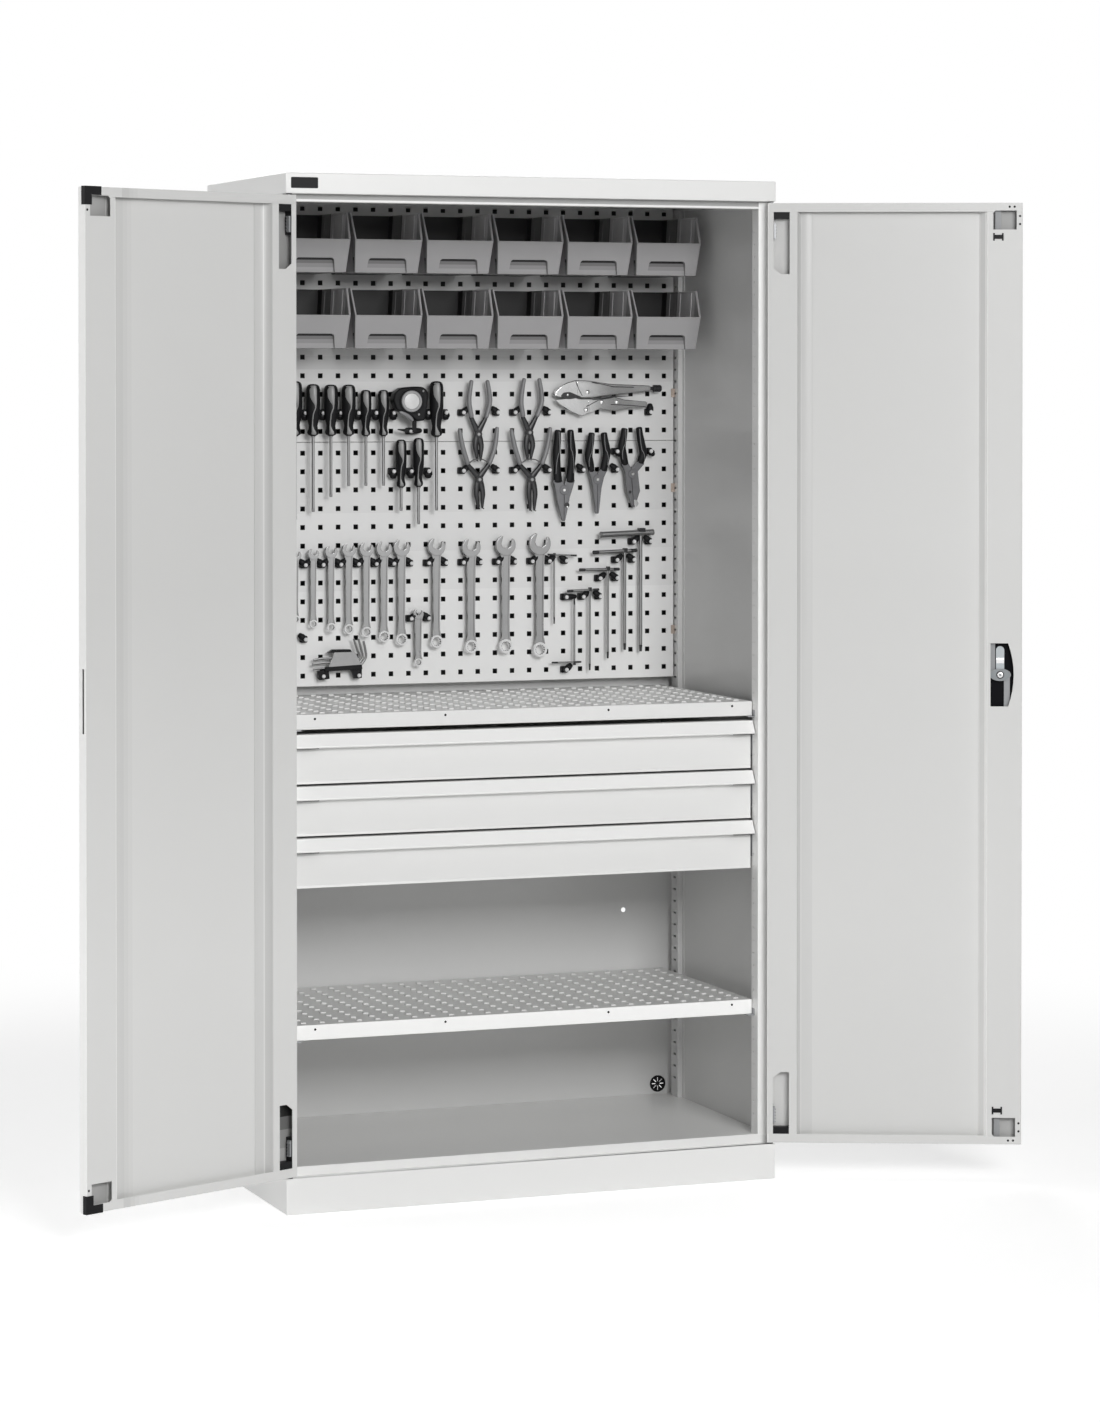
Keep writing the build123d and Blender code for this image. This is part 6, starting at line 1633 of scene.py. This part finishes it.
@dataclass
class HandleKeys:
    """T-handle keys: cross grip, shaft and dark tip."""

    rows: tuple[tuple, ...] = (
        ((321, 1279), (443, 1283), 6.5, 415, (1292, 1032), 3.5), ((306, 1242), (406, 1245), 4, 379, (1250, 1036), 3.2),
        ((276, 1206), (367, 1206), 3.2, 341, (1212, 1019), 2.5),
        ((249, 1162), (321, 1164), 2.8, 300.5, (1169, 995), 2.2),
        ((215, 1013), (281, 1013), 2, 266, (1007, 1147), 2), ((206, 1239), (271, 1236), 2, 221, (1242, 1094), 1.8),
    )
    out: float = 1
    tip: float = 14
    cap: float = 14
    small_cap: float = 4

    def build(self) -> None:
        """Make every key."""
        bright, dark = fresh(2)
        for index, (left, right, bar_r, x, (head, foot), radius) in enumerate(self.rows):
            y = TOOL_Y - bar_r - self.out
            near = (self.cap if index else self.small_cap) / (right[0] - left[0])
            far = 1 - near
            a, b = between(left, right, near), between(left, right, far)
            bar(bright, (a[0], y, a[1]), (b[0], y, b[1]), bar_r * 0.94, None, 16, 0.3)
            for start, end in ((left, a), (b, right)):
                bar(dark if index else bright, (start[0], y, start[1]), (end[0], y, end[1]), bar_r, None, 16,
                    min(1.2, bar_r * 0.4))
            sign = 1 if head > foot else -1
            mid = foot + sign * self.tip
            shaft_y = TOOL_Y - radius
            bar(bright, (x, shaft_y, head), (x, shaft_y, mid), radius, None, 12, 0.4)
            bar(dark, (x, shaft_y, mid), (x, shaft_y, foot), radius * 1.02, radius * 0.8, 12, 0.5)
            block(dark, (x - bar_r, x + bar_r), (y - bar_r * 1.15, TOOL_Y), (head - sign * 4 - 4, head - sign * 4 + 4))
        hang("t_handle_keys", 0, ("key_shafts", bright, SATIN), ("key_tips", dark, BLACK_STEEL))


# ---- light and camera ----
@dataclass
class Studio:
    """Pale floor and backdrop, soft lamps and the camera."""

    lens: float = 103.6
    shift: Point = (-0.01724, -0.18758)
    place: Spot = (-2.80890, -7.77474, 1.60300)
    turn: Spot = (89.10204, -0.00774, -21.05869)
    floor_half: float = 30.0
    aim: Spot = (0.0, 0.0, 1.0)
    ambient: float = 0.07
    floor_shade: float = 0.85
    floor_light: float = 0.535
    fade: Point = (1.6, 3.2)
    lamps: tuple[tuple, ...] = (
        ("key_panel", (0.0, -7.5, 3.35), 3.0, 2.0, 295.0),
        ("high_panel", (0.0, -6.2, 5.2), 3.0, 2.0, 40.0),
        ("side_panel", (-6.0, -0.5, 2.5), 3.0, 3.0, 110.0),
        ("rear_panel", (1.5, 6.5, 4.0), 3.0, 3.0, 150.0),
    )

    clip_end: float = 200.0
    sensor: float = 36.0
    floor_colour: float = 0.86
    floor_roughness: float = 0.7

    def build(self) -> None:
        """Set up the camera, the floor, the surroundings and the lamps."""
        self._camera()
        self._floor()
        self._world()
        for name, place, width, height, power in self.lamps:
            light = bpy.data.lights.new(name, "AREA")
            light.shape = "RECTANGLE"
            light.size, light.size_y, light.energy = width, height, power
            lamp = show(name, light)
            lamp.location = place
            lamp.rotation_euler = (Vector(self.aim) - Vector(place)).to_track_quat("-Z", "Y").to_euler()
        bpy.context.scene.view_settings.view_transform = "Standard"

    def _camera(self) -> None:
        """Place the camera."""
        lens = bpy.data.cameras.new("camera")
        lens.sensor_fit, lens.sensor_width, lens.lens = "AUTO", self.sensor, self.lens
        lens.shift_x, lens.shift_y = self.shift
        lens.clip_end = self.clip_end
        camera = show("camera", lens)
        camera.location = self.place
        camera.rotation_euler = [math.radians(angle) for angle in self.turn]
        bpy.context.scene.camera = camera

    def _floor(self) -> None:
        """Lay the pale floor, which the camera sees as white away from the shadows."""
        bm = bmesh.new()
        bmesh.ops.create_grid(bm, x_segments=1, y_segments=1, size=self.floor_half)
        mesh = settle("studio_floor", bm)
        paint = bpy.data.materials.new("studio_floor_white")
        paint.use_nodes = True
        tree = paint.node_tree
        shader = tree.nodes["Principled BSDF"]
        feed(shader, {"Base Color": (self.floor_colour,) * 3 + (1.0,), "Roughness": self.floor_roughness})
        near = wire(tree, "AddShader", "Shader", {
            0: wire(tree, "BsdfDiffuse", "BSDF", {"Color": (self.floor_shade,) * 3 + (1.0,)}),
            1: wire(tree, "Emission", "Emission", {"Strength": 1.0 - self.floor_shade * self.floor_light})})
        away = wire(tree, "VectorMath", "Value", {0: wire(tree, "TexCoord", "Object", {})}, operation="LENGTH")
        share = wire(tree, "MapRange", "Result", {"Value": away, "From Min": self.fade[0], "From Max": self.fade[1]},
                     interpolation_type="SMOOTHSTEP")
        seen = wire(tree, "MixShader", "Shader", {"Fac": share, 1: near, 2: wire(tree, "Emission", "Emission", {})})
        both = wire(tree, "MixShader", "Shader", {"Fac": self._seen(tree), 1: shader.outputs["BSDF"], 2: seen})
        feed(tree.nodes["Material Output"], {"Surface": both})
        mesh.materials.append(paint)
        floor = show("studio_floor", mesh)

    def _seen(self, tree: Tree) -> Socket:
        """Whether a ray comes from the camera, a gloss or a clear material.

        Args:
            tree: Node tree to add to.

        Returns:
            Socket that is 1 for such rays and 0 for others.
        """
        rays = tree.nodes.new("ShaderNodeLightPath").outputs
        outcome = rays["Is Camera Ray"]
        for name in ("Is Glossy Ray", "Is Transmission Ray"):
            outcome = wire(tree, "Math", "Value", {0: outcome, 1: rays[name]}, operation="MAXIMUM")
        return outcome

    def _world(self) -> None:
        """Light the surroundings softly and show them white to the camera and in gloss."""
        world = bpy.data.worlds.new("studio_world")
        bpy.context.scene.world = world
        world.use_nodes = True
        tree = world.node_tree
        level = wire(tree, "MapRange", "Result", {"Value": self._seen(tree), "To Min": self.ambient, "To Max": 1.0})
        feed(tree.nodes["Background"], {"Color": (1.0, 1.0, 1.0, 1.0), "Strength": level})


def main() -> None:
    """Build every sub-assembly in order."""
    logging.basicConfig(level=logging.INFO)
    for group in (Studio, Casework, Fittings, Details, Bins, Holders, Screwdrivers, TapeMeasure, CirclipPliers,
                  Pliers, LockingPliers, Wrenches, HexKeys, HandleKeys):
        group().build()


if __name__ == "__main__":
    main()
